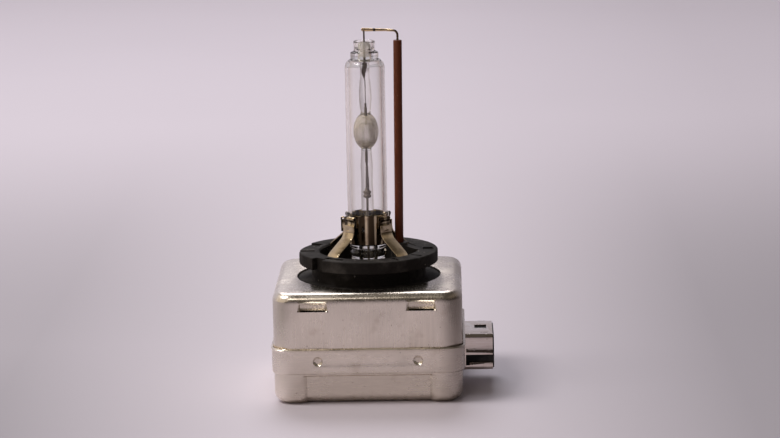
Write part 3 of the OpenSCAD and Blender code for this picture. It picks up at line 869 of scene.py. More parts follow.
class BULB_OT_lower_can(bpy.types.Operator):
    """Lower can: band over the upper can, crimp dimples and a sunk panel front and back"""
    bl_idname = "bulb.lower_can"
    bl_label = "Lower Can"

    lip = 0.62
    flare = 0.2
    corner = 4.0
    dimples = (-11.3, 11.3)
    dimple_height = -21.3

    def execute(self, context):
        start, end = span("lower_can")
        upper = high("upper_can") - low("upper_can")
        step = low("upper_can").z - 0.35
        width, depth = end.x - start.x - 2 * self.flare, end.y - start.y - 2 * self.flare
        piece = drawn_box(width, depth, step, end.z - self.lip, self.corner)
        self.draw_foot(piece, width, depth, step, start.z, upper)
        self.flare_lip(piece, width, depth, end.z - self.lip)
        self.sink_panels(piece, step, (upper.y - 0.1) / 2)
        thicken(piece, mm(sizes().sheet))
        for side in (-1, 1):
            for x in self.dimples:
                cut(piece, ball(1.45, (x, side * (depth / 2 + 0.93), self.dimple_height)))
        cut(piece, socket_way())
        soften(piece, 0.16, 3, 38)
        settle(piece, "lower_can_shell", drawn_sheet("level drawn sheet", (300, 300, 2300)),
               ["lower_can"])
        return {"FINISHED"}

    def draw_foot(self, piece, width, depth, step, floor, upper):
        """Draws the bottom down from the band, a little narrower, and rounds its edges."""
        edit(piece)
        pick(piece, "FACE", lambda middle, way: way.z < -0.9)
        extrude((0, 0, 0))
        bpy.ops.transform.resize(value=((upper.x - 0.1) / width, (upper.y - 0.1) / depth, 1),
                                 center_override=(0, 0, step))
        extrude((0, 0, floor - step))
        leave()
        round_rim(piece, floor, mm(sizes().foot_edge))

        def outer_step(middle, way):
            out = abs(middle.x) - width / 2, abs(middle.y) - depth / 2
            beyond = math.hypot(*(max(reach + self.corner, 0) for reach in out))
            return (abs(middle.z - step) < 0.01 and abs(way.z) < 0.1
                    and (abs(out[0]) < 0.01 or abs(out[1]) < 0.01 or beyond > self.corner - 0.05))

        round_edges(piece, outer_step, 0.34, 3)

    def flare_lip(self, piece, width, depth, rim):
        """Opens the top and turns its lip out a little."""
        edit(piece)
        pick(piece, "FACE", lambda middle, way: way.z > 0.9)
        for rise, out in ((0.6, 0.3), (0.4, 0.7)):
            grow = 2 * self.flare * out
            extrude((0, 0, self.lip * rise))
            bpy.ops.transform.resize(value=(1 + grow / width, 1 + grow / depth, 1),
                                     center_override=(0, 0, rim + self.lip))
        bpy.ops.mesh.delete(type="FACE")
        leave()

    def sink_panels(self, piece, step, wall):
        """Sets the middle of the front and back in, with soft upright steps."""
        half = mm(sizes().panel) / 2
        flat = wall - mm(sizes().foot_edge) + 0.02
        everything = lambda middle, way: True
        edit(piece)
        for x in (-half - 1.3, -half - 0.5, -half + 0.1, half - 0.1, half + 0.5, half + 1.3):
            slice_faces(piece, everything, (x, 0, 0), (1, 0, 0))
        for depth in (0.3, 0.75):
            slice_faces(piece, everything, (0, 0, step - depth), (0, 0, 1))
        for side in (-1, 1):
            for reach, sink in ((half, 1.05), (half + 0.6, 0.4)):
                pick(piece, "VERT", lambda place, way: abs(place.x) < reach and place.y * side > flat - 0.05
                     and place.z < step - 0.5 and (reach == half or abs(place.x) > half))
                bpy.ops.transform.translate(value=(0, -side * sink, 0))
        leave()


# ---------------------------------------------------------------- burner base

def at_azimuth(piece, degrees):
    """Turns a piece about the burner's axis."""
    choose(piece)
    piece.rotation_euler = (0, 0, math.radians(degrees))
    fix_place(piece)
    return piece


def sector(inner, outer, bottom, top, first, last):
    """Part of a ring between two directions, in degrees."""
    corners = [(inner, 0, bottom), (outer, 0, bottom), (outer, 0, top), (inner, 0, top)]
    piece = chain(corners + corners[:1])
    edit(piece)
    pick_all()
    bpy.ops.mesh.remove_doubles(threshold=0.001)
    pick_all()
    bpy.ops.mesh.edge_face_add()
    bpy.ops.mesh.spin(steps=24, angle=math.radians(last - first), center=(0, 0, 0), axis=(0, 0, 1))
    close_up(0.001)
    leave()
    return at_azimuth(piece, first)


class BULB_OT_burner_base(bpy.types.Operator):
    """Black base: reference ring, collar, deck, open well with its hub, and the ceramic tube's boss"""
    bl_idname = "bulb.burner_base"
    bl_label = "Burner Base"

    floor = -8.6
    hub = 3.7

    def execute(self, context):
        bottom = low("burner_base").z
        ring, well = mm(sizes().ring), mm(sizes().well)
        body = turned([
            (1.75, bottom), (15.4, bottom), (15.4, -7.7), (16.2, -7.7), (16.2, -6.2), (13.2, -6.2),
            (13.2, -ring), (15.85, -ring), (16, -ring + 0.15), (16, -0.15), (15.85, 0), (well + 0.35, 0),
            (well, -0.35), (well, self.floor), (self.hub, self.floor), (self.hub, -4.6), (1.75, -4.6),
            (1.75, bottom),
        ], 144)
        self.cut_marks(body)
        weld(body, self.boss(well))
        cut(body, drum(1.0, (6.95, 0, bottom - 1), (7.22, 0, 3), 48))
        for degrees in (45, 135, 225, 315):
            cut(body, at_azimuth(block((11.1, -1.75, -6.6), (11.78, 1.75, 1)), degrees))
        soften(body, 0.09, 2, 34)
        finish = moulded("black moulding", colours().base, 0.7)
        settle(body, "ringed_base", finish, ["burner_base"])
        return {"FINISHED"}

    def cut_marks(self, body):
        """Notch, groove and recesses by which the lamp is turned the right way in its holder."""
        cut(body, at_azimuth(block((14.5, -1.65, -4), (18, 1.65, 1)), 224))
        cut(body, at_azimuth(block((12.4, -1.75, -0.8), (18, 1.75, 1)), 180))
        cut(body, sector(12.6, 17, -0.42, 1, 184, 220))
        cut(body, sector(12.7, 13.9, -0.5, 1, 246, 267))
        cut(body, block((12.6, -1.5, -0.35), (14.8, 1.5, 1)))
        cut(body, block((14.1, -0.45, -0.9), (15.1, 0.45, 1)))
        cut(body, sector(12.1, 15, -0.3, 1, 300, 303))
        cut(body, sector(12.1, 15, -0.3, 1, 327, 330))

    def boss(self, well):
        """Round boss with a ramp down to the ring."""
        post = drum(1.9, (7.15, 0, self.floor - 0.2), (7.15, 0, 1.6), 64)
        ramp = block((7.15, -1.75, self.floor - 0.2), (well + 0.8, 1.75, 1.4))
        edit(ramp)
        pick(ramp, "VERT", lambda place, way: place.x > well and place.z > 0)
        bpy.ops.transform.translate(value=(0, 0, -1.5))
        leave()
        weld(post, ramp)
        return post


# ---------------------------------------------------------------- clamp and straps

def strap_steel(name, spot=None, painted_reflection_bands=False):
    """Warm-tinted spring steel: fine grain along the strip, stained bends, dark upright bands of painted
    reflection where asked, and a weld spot.
    """
    colour = colours().steel
    material, tree, shader, place = start_material(name, Metallic=1.0)
    grain_place = node(tree, "ShaderNodeAttribute", attribute_name="grain").outputs["Vector"]
    fine = streaks(tree, grain_place, (9.0, 0.5, 1.0), 5.0, 1.7)
    cloud = patches(tree, place, 420.0, 0.45, 0.7)
    dots = specks(tree, place, 1500.0, 0.16, 0.14)
    tone = mixed(tree, fine, shaded(colour, 0.75), shaded(colour, 1.25))
    tone = stained(tree, tone, cloud, 0.5, (0.2, 0.13, 0.07))
    # Painted reflection: dark upright bands standing in for the dark room that the polished steel reflects.
    if painted_reflection_bands:
        band = streaks(tree, place, (640, 640, 12), 1.0, 1.0)
        tone = mixed(tree, ranged(tree, band, 1.0, 0.0, 0.5, 0.62), tone, (0.05, 0.034, 0.02))
    tone = stained(tree, tone, dots, 0.7, (0.06, 0.045, 0.03))
    if spot is not None:
        apart = node(tree, "ShaderNodeVectorMath", {0: grain_place, 1: (0, spot, 0)},
                     operation="DISTANCE").outputs["Value"]
        tone = mixed(tree, ranged(tree, apart, 0.85, 0.0, 0.35, 0.8), tone, (0.16, 0.09, 0.04))
    feed(tree, shader, Base_Color=tone, Roughness=ranged(tree, fine, 0.07, 0.2),
         Normal=bumped(tree, fine, 0.00002, 0.3))
    return material


class BULB_OT_clamp(bpy.types.Operator):
    """Clamp: a thin sleeve round the glass with four curled fingers and a pinched ear"""
    bl_idname = "bulb.clamp"
    bl_label = "Clamp"

    def execute(self, context):
        sleeve = turned([
            (4.62, 1.75), (4.74, 1.68), (4.95, 1.72), (4.9, 2.1), (4.9, 8.25), (4.97, 8.6), (4.8, 8.68),
            (4.66, 8.55), (4.62, 8.2), (4.62, 1.75),
        ], 128)
        window = drum(0.42, (0, 0, 5.3), (6, 0, 5.3), 40)
        cut(sleeve, at_azimuth(window, -102))
        self.note_sleeve(sleeve)
        finger = self.finger()
        others = [spun_copy(finger, degrees) for degrees in (135, 225, 315)]
        gather(sleeve, at_azimuth(finger, 45), *others, self.ear(), self.ear_loop())
        soften(sleeve, 0.05, 2, 40)
        # The clamp's sleeve and fingers carry the painted reflection bands.
        finish = strap_steel("clamp steel", painted_reflection_bands=True)
        settle(sleeve, "glass_clamp", finish, ["clamp_sleeve"])
        return {"FINISHED"}

    def note_sleeve(self, sleeve):
        grain = sleeve.data.attributes.new("grain", "FLOAT_VECTOR", "POINT")
        for i, vertex in enumerate(sleeve.data.vertices):
            around = math.atan2(vertex.co.y, vertex.co.x) * 4.8
            grain.data[i].vector = (around, vertex.co.z, 0)

    def finger(self):
        """Strip that rises from the sleeve, curls over and hangs down outside it."""
        curl = [(5.45 + x, z) for x, z in ellipse(0.4, 0.4, 7.88, 180, -35, 16)]
        line = [(5.03, 5.6), (5.04, 6.6), *curl, (5.56, 7.25), (5.5, 6.95), (5.56, 6.6), (5.74, 6.3),
                (5.74, 4.6)]
        return strip(line, 3.0, 0.26)

    def ear(self):
        """Where the sleeve's ends are pinched together."""
        line = bent([(-4.7, -0.42), (-5.25, -0.3), (-6.1, -0.3), (-6.1, 0.3), (-5.25, 0.3), (-4.7, 0.42)], 0.2)
        piece = strip(line, 2.8, 0.22)
        piece.rotation_euler = (math.pi / 2, 0, 0)
        piece.location = (0, 0, 5.8)
        fix_place(piece)
        return piece

    def ear_loop(self):
        clear_selection()
        bpy.ops.mesh.primitive_torus_add(
            major_radius=0.42, minor_radius=0.17, major_segments=32, minor_segments=14,
            location=(-5.7, 0, 7.25), rotation=(math.pi / 2, 0, 0))
        loop = bpy.context.object
        fix_place(loop)
        loop.data.attributes.new("grain", "FLOAT_VECTOR", "POINT")
        return loop


class BULB_OT_straps(bpy.types.Operator):
    """Four bent straps from the clamp's fingers down into the base"""
    bl_idname = "bulb.straps"
    bl_label = "Support Straps"

    corners = [(6.0, 6.45), (6.08, 3.8), (11.5, -0.15), (11.55, -6.4)]
    spot = 0.85

    def execute(self, context):
        first = strip(bent(self.corners, 1.3, 10), 3.4, 0.32)
        cut(first, ball(0.7, (6.06 + 0.76, 0, 5.5), 24))
        soften(first, 0.07, 3, 40)
        material = strap_steel("strap steel", self.spot)
        names = ("rear_right", "rear_left", "front_left", "front_right")
        for quarter, name in enumerate(names):
            piece = spun_copy(first, 45 + 90 * quarter)
            settle(piece, "bent_strap_" + name, material, ["strap_" + name])
        bpy.data.objects.remove(first)
        return {"FINISHED"}


# ---------------------------------------------------------------- burner

def clear_quartz(name, tint):
    """Clear quartz with faint drawn cords along the tube, which lets light through to what it holds, with a
    painted warm reflection tinting its edges.
    """
    material, tree, shader, place = start_material(name, Metallic=0.0, Transmission_Weight=1.0, IOR=1.46)
    cords = streaks(tree, place, (700, 700, 22), 4.0, 1.4)
    haze = patches(tree, place, 260.0, 0.6, 0.85)
    tone = mixed(tree, cords, (1, 1, 1), tint)
    # Painted reflection: tints the glass warm where it is seen edge-on, standing in for the warm surroundings
    # that it reflects.
    edge = node(tree, "ShaderNodeLayerWeight", {"Blend": 0.5}).outputs["Facing"]
    tone = mixed(tree, ranged(tree, edge, 0.0, 1.0, 0.28, 0.6), tone, (0.84, 0.76, 0.66))
    feed(tree, shader, Base_Color=tone, Roughness=ranged(tree, haze, 0.0, 0.03),
         Normal=bumped(tree, cords, 0.00004, 0.25))
    clear = node(tree, "ShaderNodeBsdfTransparent", {"Color": (0.96, 0.955, 0.94, 1)})
    shadow = node(tree, "ShaderNodeLightPath").outputs["Is Shadow Ray"]
    both = node(tree, "ShaderNodeMixShader", {0: shadow, 1: shader.outputs[0], 2: clear.outputs[0]})
    output = next(n for n in tree.nodes if n.type == "OUTPUT_MATERIAL")
    tree.links.new(both.outputs[0], output.inputs["Surface"])
    return material


class BULB_OT_outer_tube(bpy.types.Operator):
    """Clear outer tube, fused to the stems at its two ends"""
    bl_idname = "bulb.outer_tube"
    bl_label = "Outer Glass Tube"

    def execute(self, context):
        outside = [
            (1.47, -2.7), (3.3, -2.7), (4.15, -1.7), (4.27, -0.3), (3.62, 0.45), (4.15, 0.85), (4.58, 1.5),
            (4.58, 42.5), (4.3, 43.5), (3.55, 44.15), (3.1, 44.45), (3.2, 44.7), (3.2, 45.75), (3.0, 45.95),
            (2.5, 46.1), (2.32, 46.5), (2.46, 48.3), (2.38, 48.4),
        ]
        inside = [
            (2.15, 48.36), (2.0, 48.2), (1.9, 46.9), (1.47, 46.4), (1.47, 44.5), (1.8, 44.1), (3.1, 43.7),
            (3.73, 42.6), (3.73, 2.9), (3.3, 2.1), (1.8, 1.75), (1.47, 1.4),
        ]
        line = bent(outside + inside, 0.35, 4)
        piece = turned(line + line[:1], 128)
        settle(piece, "outer_tube_glass", clear_quartz("outer quartz", (0.985, 0.98, 0.965)),
               ["outer_glass_tube"], 60)
        return {"FINISHED"}


class BULB_OT_arc_tube(bpy.types.Operator):
    """Arc tube: two stems with the bulb between them, and the frozen salts in the bulb"""
    bl_idname = "bulb.arc_tube"
    bl_label = "Arc Tube"

    middle = 27.7

    def execute(self, context):
        start, end = low("arc_tube").z, high("arc_tube").z
        stem = mm(sizes().stem)
        bulge = ellipse(2.9, 4.3, self.middle, -66, 66, 28)
        outline = [
            (0, start), (stem - 0.25, start), (stem, start + 0.25), (stem, 12.5), (stem - 0.12, 16),
            (stem, 19.5), (stem - 0.2, self.middle - 4.9), *bulge, (stem - 0.25, self.middle + 4.75),
            (stem + 0.03, self.middle + 7.4), (stem - 0.02, self.middle + 9.4),
            (stem - 0.38, self.middle + 13), (stem - 0.3, 42.8), (stem, 43.9), (stem, end - 0.25),
            (stem - 0.25, end), (0, end),
        ]
        body = turned(outline, 96)
        room = turned(ellipse(2.1, 3.2, self.middle, -90, 90, 28), 96)
        edit(room)
        pick_all()
        bpy.ops.mesh.flip_normals()
        leave()
        gather(body, room)
        settle(body, "arc_tube_glass", clear_quartz("arc quartz", (0.98, 0.965, 0.94)),
               ["arc_tube"], 60)
        self.salts()
        self.pale_stem_end(stem)
        # Painted highlight: a pale cone round the lead inside the lower stem, standing in for the bright cone
        # that refraction shows there.
        cone = turned([(0.34, 7.5), (0.5, 7.3), (1.36, 6.0), (1.3, 5.85), (0.34, 6.3), (0.34, 7.5)], 64)
        settle(cone, "pale_refraction_cone", fired("pale refraction cone", (0.8, 0.76, 0.7), 0.5), [])
        return {"FINISHED"}

    def pale_stem_end(self, stem):
        """Painted highlight: a whitish see-through skin round the upper stem's end, standing in for the light
        that the stem shows inside the collar.
        """
        skin = turned([(stem + 0.01, 44.9), (stem + 0.04, 45.0), (stem + 0.05, 47.7), (stem + 0.02, 48.1),
                       (stem - 0.3, 48.2), (stem + 0.01, 48.0), (stem + 0.01, 44.9)], 72)
        material, tree, shader, place = start_material("pale quartz highlight", Roughness=0.6)
        runs = streaks(tree, place, (900, 900, 90), 4.0, 2.0)
        tone = mixed(tree, runs, (0.84, 0.78, 0.7), (0.96, 0.93, 0.88))
        feed(tree, shader, Base_Color=tone, Alpha=ranged(tree, runs, 0.12, 0.5),
             Normal=bumped(tree, runs, 0.00004, 0.5))
        settle(skin, "pale_stem_end_highlight", material, [])

    def salts(self):
        """Thin film of frozen salts that runs down the wall and pools at the bottom."""
        film = turned(ellipse(2.16, 3.28, self.middle, -90, 80, 28), 72)
        thicken(film, 0.03)
        material, tree, shader, place = start_material("frozen salts", Roughness=0.55)
        runs = streaks(tree, place, (900, 900, 60), 4.0, 2.2)
        height = node(tree, "ShaderNodeSeparateXYZ", {"Vector": place}).outputs["Z"]
        pool = ranged(tree, height, 0.35, 0.0, 0.0242, 0.0262)
        tone = mixed(tree, runs, (0.2, 0.15, 0.11), (0.8, 0.72, 0.62))
        cover = maths(tree, "ADD", ranged(tree, runs, 0.5, 0.04), pool, clamp=True)
        feed(tree, shader, Base_Color=tone, Alpha=cover, Normal=bumped(tree, runs, 0.00005, 0.5))
        settle(film, "salt_film", material, ["halide_salts"])


class BULB_OT_burner_metal(bpy.types.Operator):
    """Electrodes, sealing foils, leads and the crimp of the burner"""
    bl_idname = "bulb.burner_metal"
    bl_label = "Burner Metal"

    def execute(self, context):
        dark = dull_metal("dark molybdenum", (0.2, 0.17, 0.15), 0.4)
        for name, way in (("upper", 1), ("lower", -1)):
            rod, foil = self.electrode(name, way), self.foil(name)
            settle(rod, name + "_electrode_rod", dark, [name + "_electrode"], 60)
            settle(foil, name + "_sealing_foil", dark, [name + "_foil"])
        settle(self.crimp(), "lead_crimp", dark, ["lower_lead_crimp"])
        self.leads(dark)
        return {"FINISHED"}

    def electrode(self, name, way):
        """Rod with a melted tip, wound with a fine coil where it is sealed in."""
        start, end = low(name + "_electrode").z, high(name + "_electrode").z
        tip, root = (start, end) if way > 0 else (end, start)
        outline = [(0, tip), (0.16, tip + way * 0.04), (0.25, tip + way * 0.2), (0.24, tip + way * 0.4),
                   (0.17, tip + way * 0.6), (0.16, root), (0, root)]
        rod = turned(outline, 32)
        turns, pitch, first = 16, 0.17, root - way * 3.6
        coil = [(0.2 * math.cos(i * TURN / 12), 0.2 * math.sin(i * TURN / 12), first + way * pitch * i / 12)
                for i in range(turns * 12 + 1)]
        return gather(rod, wire(coil, 0.06, 8))

    def foil(self, name):
        """Thin foil with a turn in its length."""
        start, end = span(name + "_foil")
        rows = 24
        heights = [start.z + (end.z - start.z) * i / rows for i in range(rows + 1)]
        piece = strip([(0, z) for z in heights], 0.8 if name == "upper" else 1.2, 0.05)
        edit(piece)
        for z in heights:
            share = (z - start.z) / (end.z - start.z)
            if name == "upper":
                degrees = 6 + 58 * min(max((share - 0.62) / 0.2, 0), 1)
            else:
                degrees = 24 - 10 * share
            pick(piece, "VERT", lambda place, way: abs(place.z - z) < 0.01)
            bpy.ops.transform.rotate(value=math.radians(degrees), orient_axis="Z", center_override=(0, 0, z))
            if name == "upper":
                bpy.ops.transform.translate(value=(-0.24 * max(1 - abs(share - 0.76) / 0.2, 0), 0, 0))
        leave()
        return piece

    def crimp(self):
        """Small tube pinched on the lower lead."""
        return turned([
            (0, 12.15), (0.34, 12.15), (0.6, 12.35), (0.62, 12.8), (0.5, 12.95), (0.5, 13.15), (0.62, 13.3),
            (0.6, 13.75), (0.36, 13.95), (0.3, 14.45), (0, 14.45),
        ], 40)

    def leads(self, dark):
        lead = mm(sizes().lead)
        upper = low("upper_lead_wire").z, high("upper_lead_wire").z
        lower = low("lower_lead_wire").z, high("lower_lead_wire").z
        line = rounded([(0, 0, upper[0]), (0, 0, upper[0] + 3), (-0.02, 0, upper[1])], 0.6)
        settle(wire(line, lead - 0.005), "upper_lead", dark, ["upper_lead_wire"], 60)
        line = rounded([(0, 0, lower[0]), (0.03, 0.02, 4), (-0.02, 0, 9), (0, 0, lower[1])], 1.0)
        settle(wire(line, lead - 0.005), "lower_lead", dark, ["lower_lead_wire"], 60)


class BULB_OT_return_line(bpy.types.Operator):
    """Brown ceramic tube and the return wire with its flattened arm"""
    bl_idname = "bulb.return_line"
    bl_label = "Return Line"

    foot = Vector((7.15, 0, 1.6))
    lean = math.radians(0.57)
    weld_mark = 2.35

    def execute(self, context):
        self.tube()
        self.heat_wire()
        return {"FINISHED"}

    def tube(self):
        start, end = low("ceramic_tube").z, high("ceramic_tube").z
        piece = turned([
            (0.37, start), (0.86, start), (0.98, start + 0.12), (0.985, 20), (0.98, end - 0.2),
            (0.9, end - 0.06), (0.8, end - 0.02), (0.42, end - 0.02), (0.37, end - 0.1), (0.37, start),
        ], 64)
        piece.rotation_euler = (0, self.lean, 0)
        piece.location = self.foot - Matrix.Rotation(self.lean, 3, "Y") @ Vector((0, 0, self.foot.z))
        fix_place(piece)
        colour = colours().ceramic
        material, tree, shader, place = start_material("brown ceramic", Specular_IOR_Level=0.2)
        pores = streaks(tree, place, (2400, 2400, 900), 4.0, 1.4)
        bands = streaks(tree, place, (260, 260, 22), 3.0, 1.8)
        dots = specks(tree, place, 1500.0, 0.15, 0.12)
        tone = mixed(tree, bands, shaded(colour, 0.75), shaded(colour, 1.5))
        tone = stained(tree, tone, pores, 0.5, shaded(colour, 0.45))
        tone = stained(tree, tone, dots, 0.4, (0.3, 0.2, 0.14))
        feed(tree, shader, Base_Color=tone, Roughness=ranged(tree, pores, 0.32, 0.5),
             Normal=bumped(tree, pores, 0.00003, 0.6))
        settle(piece, "ceramic_sleeve", material, ["ceramic_tube"], 50)

    def heat_wire(self):
        """Round wire with a bend, and its arm pressed flat where it meets the lead."""
        box = span("return_wire")
        level = box[1].z - 0.57
        slope = math.radians(1.5)
        leg_top = self.foot.x + (level - self.foot.z) * math.tan(self.lean)
        foot = (self.foot.x + (box[0].z - self.foot.z) * math.tan(self.lean), 0, box[0].z)
        bend = rounded([foot, (leg_top, 0, level - 0.1), (leg_top - 2.4, 0.1, level - 0.05)], 1.25, 10)
        piece = wire(bend, 0.26, 16)
        arm = block((-0.62, 0.05, level - 0.4), (leg_top - 1.5, 0.43, level + 0.4))
        edit(arm)
        pick(arm, "EDGE", lambda middle, way: abs(way.y) > 0.9 and middle.x < 0)
        bpy.ops.mesh.bevel(offset=0.38, segments=8, affect="EDGES")
        pick(arm, "VERT", lambda place, way: place.x > 4)
        bpy.ops.transform.resize(value=(1, 1, 0.62), center_override=(0, 0, level))
        pick(arm, "EDGE", lambda middle, way: abs(way.y) < 0.1)
        bpy.ops.mesh.bevel(offset=0.15, segments=4, affect="EDGES")
        leave()
        pivot = Vector((leg_top - 1.6, 0, level))
        arm.rotation_euler = (0, slope, 0)
        arm.location = pivot - Matrix.Rotation(slope, 3, "Y") @ pivot
        fix_place(arm)
        lead_weld = ball(0.26, (0.1, 0.02, level + 0.12), 20)
        gather(piece, arm, lead_weld, ball(0.19, (self.weld_mark, 0.06, level), 16))
        settle(piece, "return_lead", self.tinted(), ["return_wire"], 60)

    def tinted(self):
        """Heat tints along the wire: gold on the arm, dark at the bend and at the weld marks."""
        material, tree, shader, place = start_material("heat-tinted wire", Metallic=1.0)
        across = node(tree, "ShaderNodeSeparateXYZ", {"Vector": place}).outputs["X"]
        fine = streaks(tree, place, (400, 2500, 2500), 4.0, 1.6)
        tone = mixed(tree, fine, (0.6, 0.4, 0.2), (1.0, 0.8, 0.5))
        mark = maths(tree, "ABSOLUTE", maths(tree, "SUBTRACT", across, self.weld_mark * MM))
        tone = mixed(tree, ranged(tree, mark, 1.0, 0.0, 0.00012, 0.0004), tone, (0.02, 0.015, 0.012))
        tone = mixed(tree, ranged(tree, across, 0.0, 0.85, 0.0058, 0.0071), tone, (0.06, 0.04, 0.03))
        tint = patches(tree, place, 700.0, 0.5, 0.7)
        tone = stained(tree, tone, tint, 0.35, (0.14, 0.07, 0.04))
        feed(tree, shader, Base_Color=tone, Roughness=ranged(tree, fine, 0.1, 0.24),
             Normal=bumped(tree, fine, 0.00002, 0.4))
        return material


def dress(name, material):
    """Gives a CAD node its own finish through its material slots."""
    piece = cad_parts[name]
    if not piece.material_slots:
        piece.data.materials.append(material)
    for slot in piece.material_slots:
        slot.material = material


# ---------------------------------------------------------------- plug socket

class BULB_OT_plug_socket(bpy.types.Operator):
    """Plug socket: plated shroud with side grooves, black insert and four contact blades"""
    bl_idname = "bulb.plug_socket"
    bl_label = "Plug Socket"

    wall = 0.35
    blade_places = (-4.2, -1.4, 1.4, 4.2)

    def execute(self, context):
        self.shroud()
        self.insert()
        self.pins()
        return {"FINISHED"}

    def case(self, inset, start, end, radius):
        """Round-cornered bar along X, as big as the shroud less an inset."""
        a, b = span("connector_shroud")
        piece = block((start, a.y + inset, a.z + inset), (end, b.y - inset, b.z - inset))
        round_edges(piece, runs_along_x, radius, 6)
        return piece

    def shroud(self):
        a, b = span("connector_shroud")
        body = self.case(0.06, a.x, b.x, 0.8)
        collar = self.case(0.0, a.x, 22.05, 0.85)
        weld(body, collar)
        for side in (-1, 1):
            self.side_cut(body, side, 22.2, b.x + 1, -22.95, -20.5, 0.16)
            self.side_cut(body, side, 22.2, b.x + 1, -23.1, -22.96, 0.4)
        cut(body, self.case(0.06 + self.wall, a.x - 1, b.x + 1, 0.6))
        for side in (-1, 1):
            self.side_cut(body, side, 22.1, b.x + 1, -25.4, -23.65, 1.2)
            self.side_cut(body, side, 22.1, 22.95, -26.15, -25.2, 1.2)
        cut(body, block((24.2, -0.65, b.z - 2), (26.95, 2.7, b.z + 1)))
        for y, start, end in ((-5.3, 25.5, 27.2), (6.5, 25.2, 26.7)):
            cut(body, block((start, y - 0.2, b.z - 0.22), (end, y + 0.2, b.z + 1)))
        soften(body, 0.06, 2, 34)
        material, tree, shader, place = start_material("nickel plate", Metallic=1.0)
        cloud = patches(tree, place, 260.0, 0.4, 0.72)
        fine = streaks(tree, place, (260, 2600, 2600), 4.0, 1.4)
        dots = specks(tree, place, 1300.0, 0.15, 0.1)
        tone = mixed(tree, fine, (0.55, 0.47, 0.42), (0.74, 0.67, 0.62))
        tone = stained(tree, tone, cloud, 0.3, (0.45, 0.36, 0.24))
        tone = stained(tree, tone, dots, 0.6, (0.1, 0.08, 0.07))
        feed(tree, shader, Base_Color=tone, Roughness=ranged(tree, cloud, 0.05, 0.15),
             Normal=bumped(tree, cloud, 0.00012, 0.3))
        settle(body, "socket_shroud", material, ["connector_shroud"])

    def side_cut(self, body, side, start, end, bottom, top, depth):
        """Cuts a level groove into one side of the shroud."""
        wall = high("connector_shroud").y
        near, far = sorted((side * (wall + 1), side * (wall - 0.06 - depth)))
        cut(body, block((start, near, bottom), (end, far, top)))

    def insert(self):
        a, b = span("connector_insert")
        body = block(a, b)
        round_edges(body, runs_along_x, 0.7, 4)
        middle = (a.z + b.z) / 2
        cut(body, block((19.4, a.y + 0.8, a.z + 0.8), (b.x + 1, b.y - 0.8, b.z - 0.8)))
        for y in self.blade_places:
            cut(body, block((a.x - 1, y - 0.42, middle - 0.36), (20.5, y + 0.42, middle + 0.36)))
        soften(body, 0.08, 2, 34)
        finish = moulded("black socket moulding", (0.015, 0.015, 0.016), 0.38)
        settle(body, "socket_insert", finish, ["connector_insert"])

    def pins(self):
        a, b = span("connector_pins")
        middle = (low("connector_shroud").z + high("connector_shroud").z) / 2
        blades = []
        for y in self.blade_places:
            blade = block((a.x, y - 0.32, middle - 0.32), (b.x, y + 0.32, middle + 0.32))
            edit(blade)
            pick(blade, "FACE", lambda middle, way: way.x > 0.9)
            bpy.ops.transform.resize(value=(1, 0.45, 0.45), center_override=(b.x, y, middle))
            leave()
            blades.append(blade)
        body = gather(*blades)
        soften(body, 0.05, 2, 30)
        settle(body, "contact_blades", dull_metal("tinned brass", (0.72, 0.62, 0.42), 0.3),
               ["connector_pins"])


# ---------------------------------------------------------------- igniter

def wound(name, way):
    """Enamelled copper: close turns across the coil's axis."""
    material, tree, shader, place = start_material(name, Metallic=0.85, Coat_Weight=0.5, Coat_Roughness=0.15)
    waves = node(tree, "ShaderNodeTexWave", {
        "Vector": place, "Scale": 700.0, "Distortion": 0.4, "Detail": 1.0,
    }, bands_direction=way).outputs["Fac"]
    cloud = patches(tree, place, 500.0, 0.4, 0.7)
    tone = mixed(tree, waves, (0.2, 0.05, 0.02), (0.75, 0.3, 0.12))
    tone = stained(tree, tone, cloud, 0.35, (0.35, 0.1, 0.04))
    feed(tree, shader, Base_Color=tone, Roughness=ranged(tree, cloud, 0.28, 0.42),
         Normal=bumped(tree, waves, 0.0001, 0.8))
    return material


def solder_mask(name):
    """Green board: copper tracks under the mask and tinned pads."""
    material, tree, shader, place = start_material(name, Coat_Roughness=0.12, Coat_Weight=0.4)
    tracks = node(tree, "ShaderNodeTexBrick", {
        "Vector": place, "Scale": 260.0, "Mortar Size": 0.05, "Mortar Smooth": 0.2,
        "Brick Width": 1.1, "Row Height": 0.5,
    }).outputs["Fac"]
    pads = specks(tree, place, 330.0, 0.2, 0.3)
    weave = streaks(tree, place, (2500, 2500, 2500), 2.0, 1.2)
    tone = mixed(tree, weave, (0.012, 0.09, 0.035), (0.02, 0.14, 0.055))
    tone = stained(tree, tone, tracks, 0.6, (0.06, 0.26, 0.1))
    tone = mixed(tree, pads, tone, (0.7, 0.68, 0.62))
    feed(tree, shader, Base_Color=tone, Roughness=ranged(tree, pads, 0.38, 0.25),
         Metallic=ranged(tree, pads, 0.0, 0.9), Normal=bumped(tree, tracks, 0.00003, 0.5))
    return material


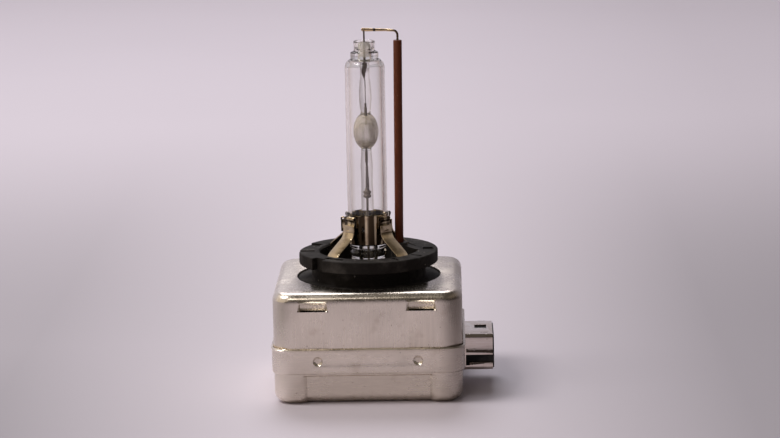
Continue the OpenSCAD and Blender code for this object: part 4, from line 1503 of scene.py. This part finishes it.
class BULB_OT_igniter(bpy.types.Operator):
    """Finishes of the igniter's pieces inside the cans"""
    bl_idname = "bulb.igniter"
    bl_label = "Igniter"

    def execute(self, context):
        tinned = dull_metal("tinned strip", (0.7, 0.64, 0.5), 0.32)
        amber = fired("dipped epoxy", (0.55, 0.3, 0.05), 0.28)
        winding = wound("enamelled copper, level coil", "Y")
        ferrite = fired("sintered ferrite", (0.035, 0.035, 0.038), 0.5)
        finishes = {
            "igniter_tray": moulded("grey tray moulding", (0.08, 0.072, 0.065), 0.5),
            "hv_terminal": tinned, "return_terminal": tinned,
            "circuit_board": solder_mask("green solder mask"),
            "transformer_core": ferrite, "choke_core": ferrite,
            "transformer_bobbin": moulded("cream bobbin moulding", (0.6, 0.53, 0.4), 0.45),
            "secondary_winding": winding, "primary_winding": winding,
            "choke_winding": wound("enamelled copper, upright coil", "Z"),
            "spark_gap_body": fired("white alumina", (0.78, 0.76, 0.72), 0.3),
            "spark_gap_caps": dull_metal("nickel caps", (0.68, 0.66, 0.62), 0.25),
            "pulse_capacitor": amber, "filter_capacitor": amber,
            "bleed_resistor": fired("lacquered resistor", (0.4, 0.5, 0.46), 0.3),
            "sealing_gasket": moulded("silicone rubber", (0.03, 0.03, 0.03), 0.7),
        }
        for name, material in finishes.items():
            dress(name, material)
        return {"FINISHED"}


# ---------------------------------------------------------------- panel and registration

class BULB_PT_panel(bpy.types.Panel):
    """Lists the lamp's pieces"""
    bl_idname = "BULB_PT_panel"
    bl_label = "Headlight Bulb"
    bl_space_type = "VIEW_3D"
    bl_region_type = "UI"
    bl_category = "Headlight Bulb"

    def draw(self, context):
        column = self.layout.column()
        for operator in OPERATORS:
            column.operator(operator.bl_idname)


SETTINGS = (BulbSizes, BulbColours, BulbStudio)
OPERATORS = (
    BULB_OT_studio, BULB_OT_upper_can, BULB_OT_lower_can, BULB_OT_burner_base, BULB_OT_clamp, BULB_OT_straps,
    BULB_OT_outer_tube, BULB_OT_arc_tube, BULB_OT_burner_metal, BULB_OT_return_line, BULB_OT_plug_socket,
    BULB_OT_igniter,
)
CLASSES = SETTINGS + OPERATORS + (BULB_PT_panel,)


def register():
    for kind in CLASSES:
        bpy.utils.register_class(kind)
    bpy.types.Scene.bulb_sizes = bpy.props.PointerProperty(type=BulbSizes)
    bpy.types.Scene.bulb_colours = bpy.props.PointerProperty(type=BulbColours)
    bpy.types.Scene.bulb_studio = bpy.props.PointerProperty(type=BulbStudio)


def unregister():
    del bpy.types.Scene.bulb_studio
    del bpy.types.Scene.bulb_colours
    del bpy.types.Scene.bulb_sizes
    for kind in reversed(CLASSES):
        bpy.utils.unregister_class(kind)


def main():
    register()
    bpy.ops.bulb.studio()
    bpy.ops.bulb.upper_can()
    bpy.ops.bulb.lower_can()
    bpy.ops.bulb.burner_base()
    bpy.ops.bulb.clamp()
    bpy.ops.bulb.straps()
    bpy.ops.bulb.outer_tube()
    bpy.ops.bulb.arc_tube()
    bpy.ops.bulb.burner_metal()
    bpy.ops.bulb.return_line()
    bpy.ops.bulb.plug_socket()
    bpy.ops.bulb.igniter()


if __name__ == "__main__":
    main()
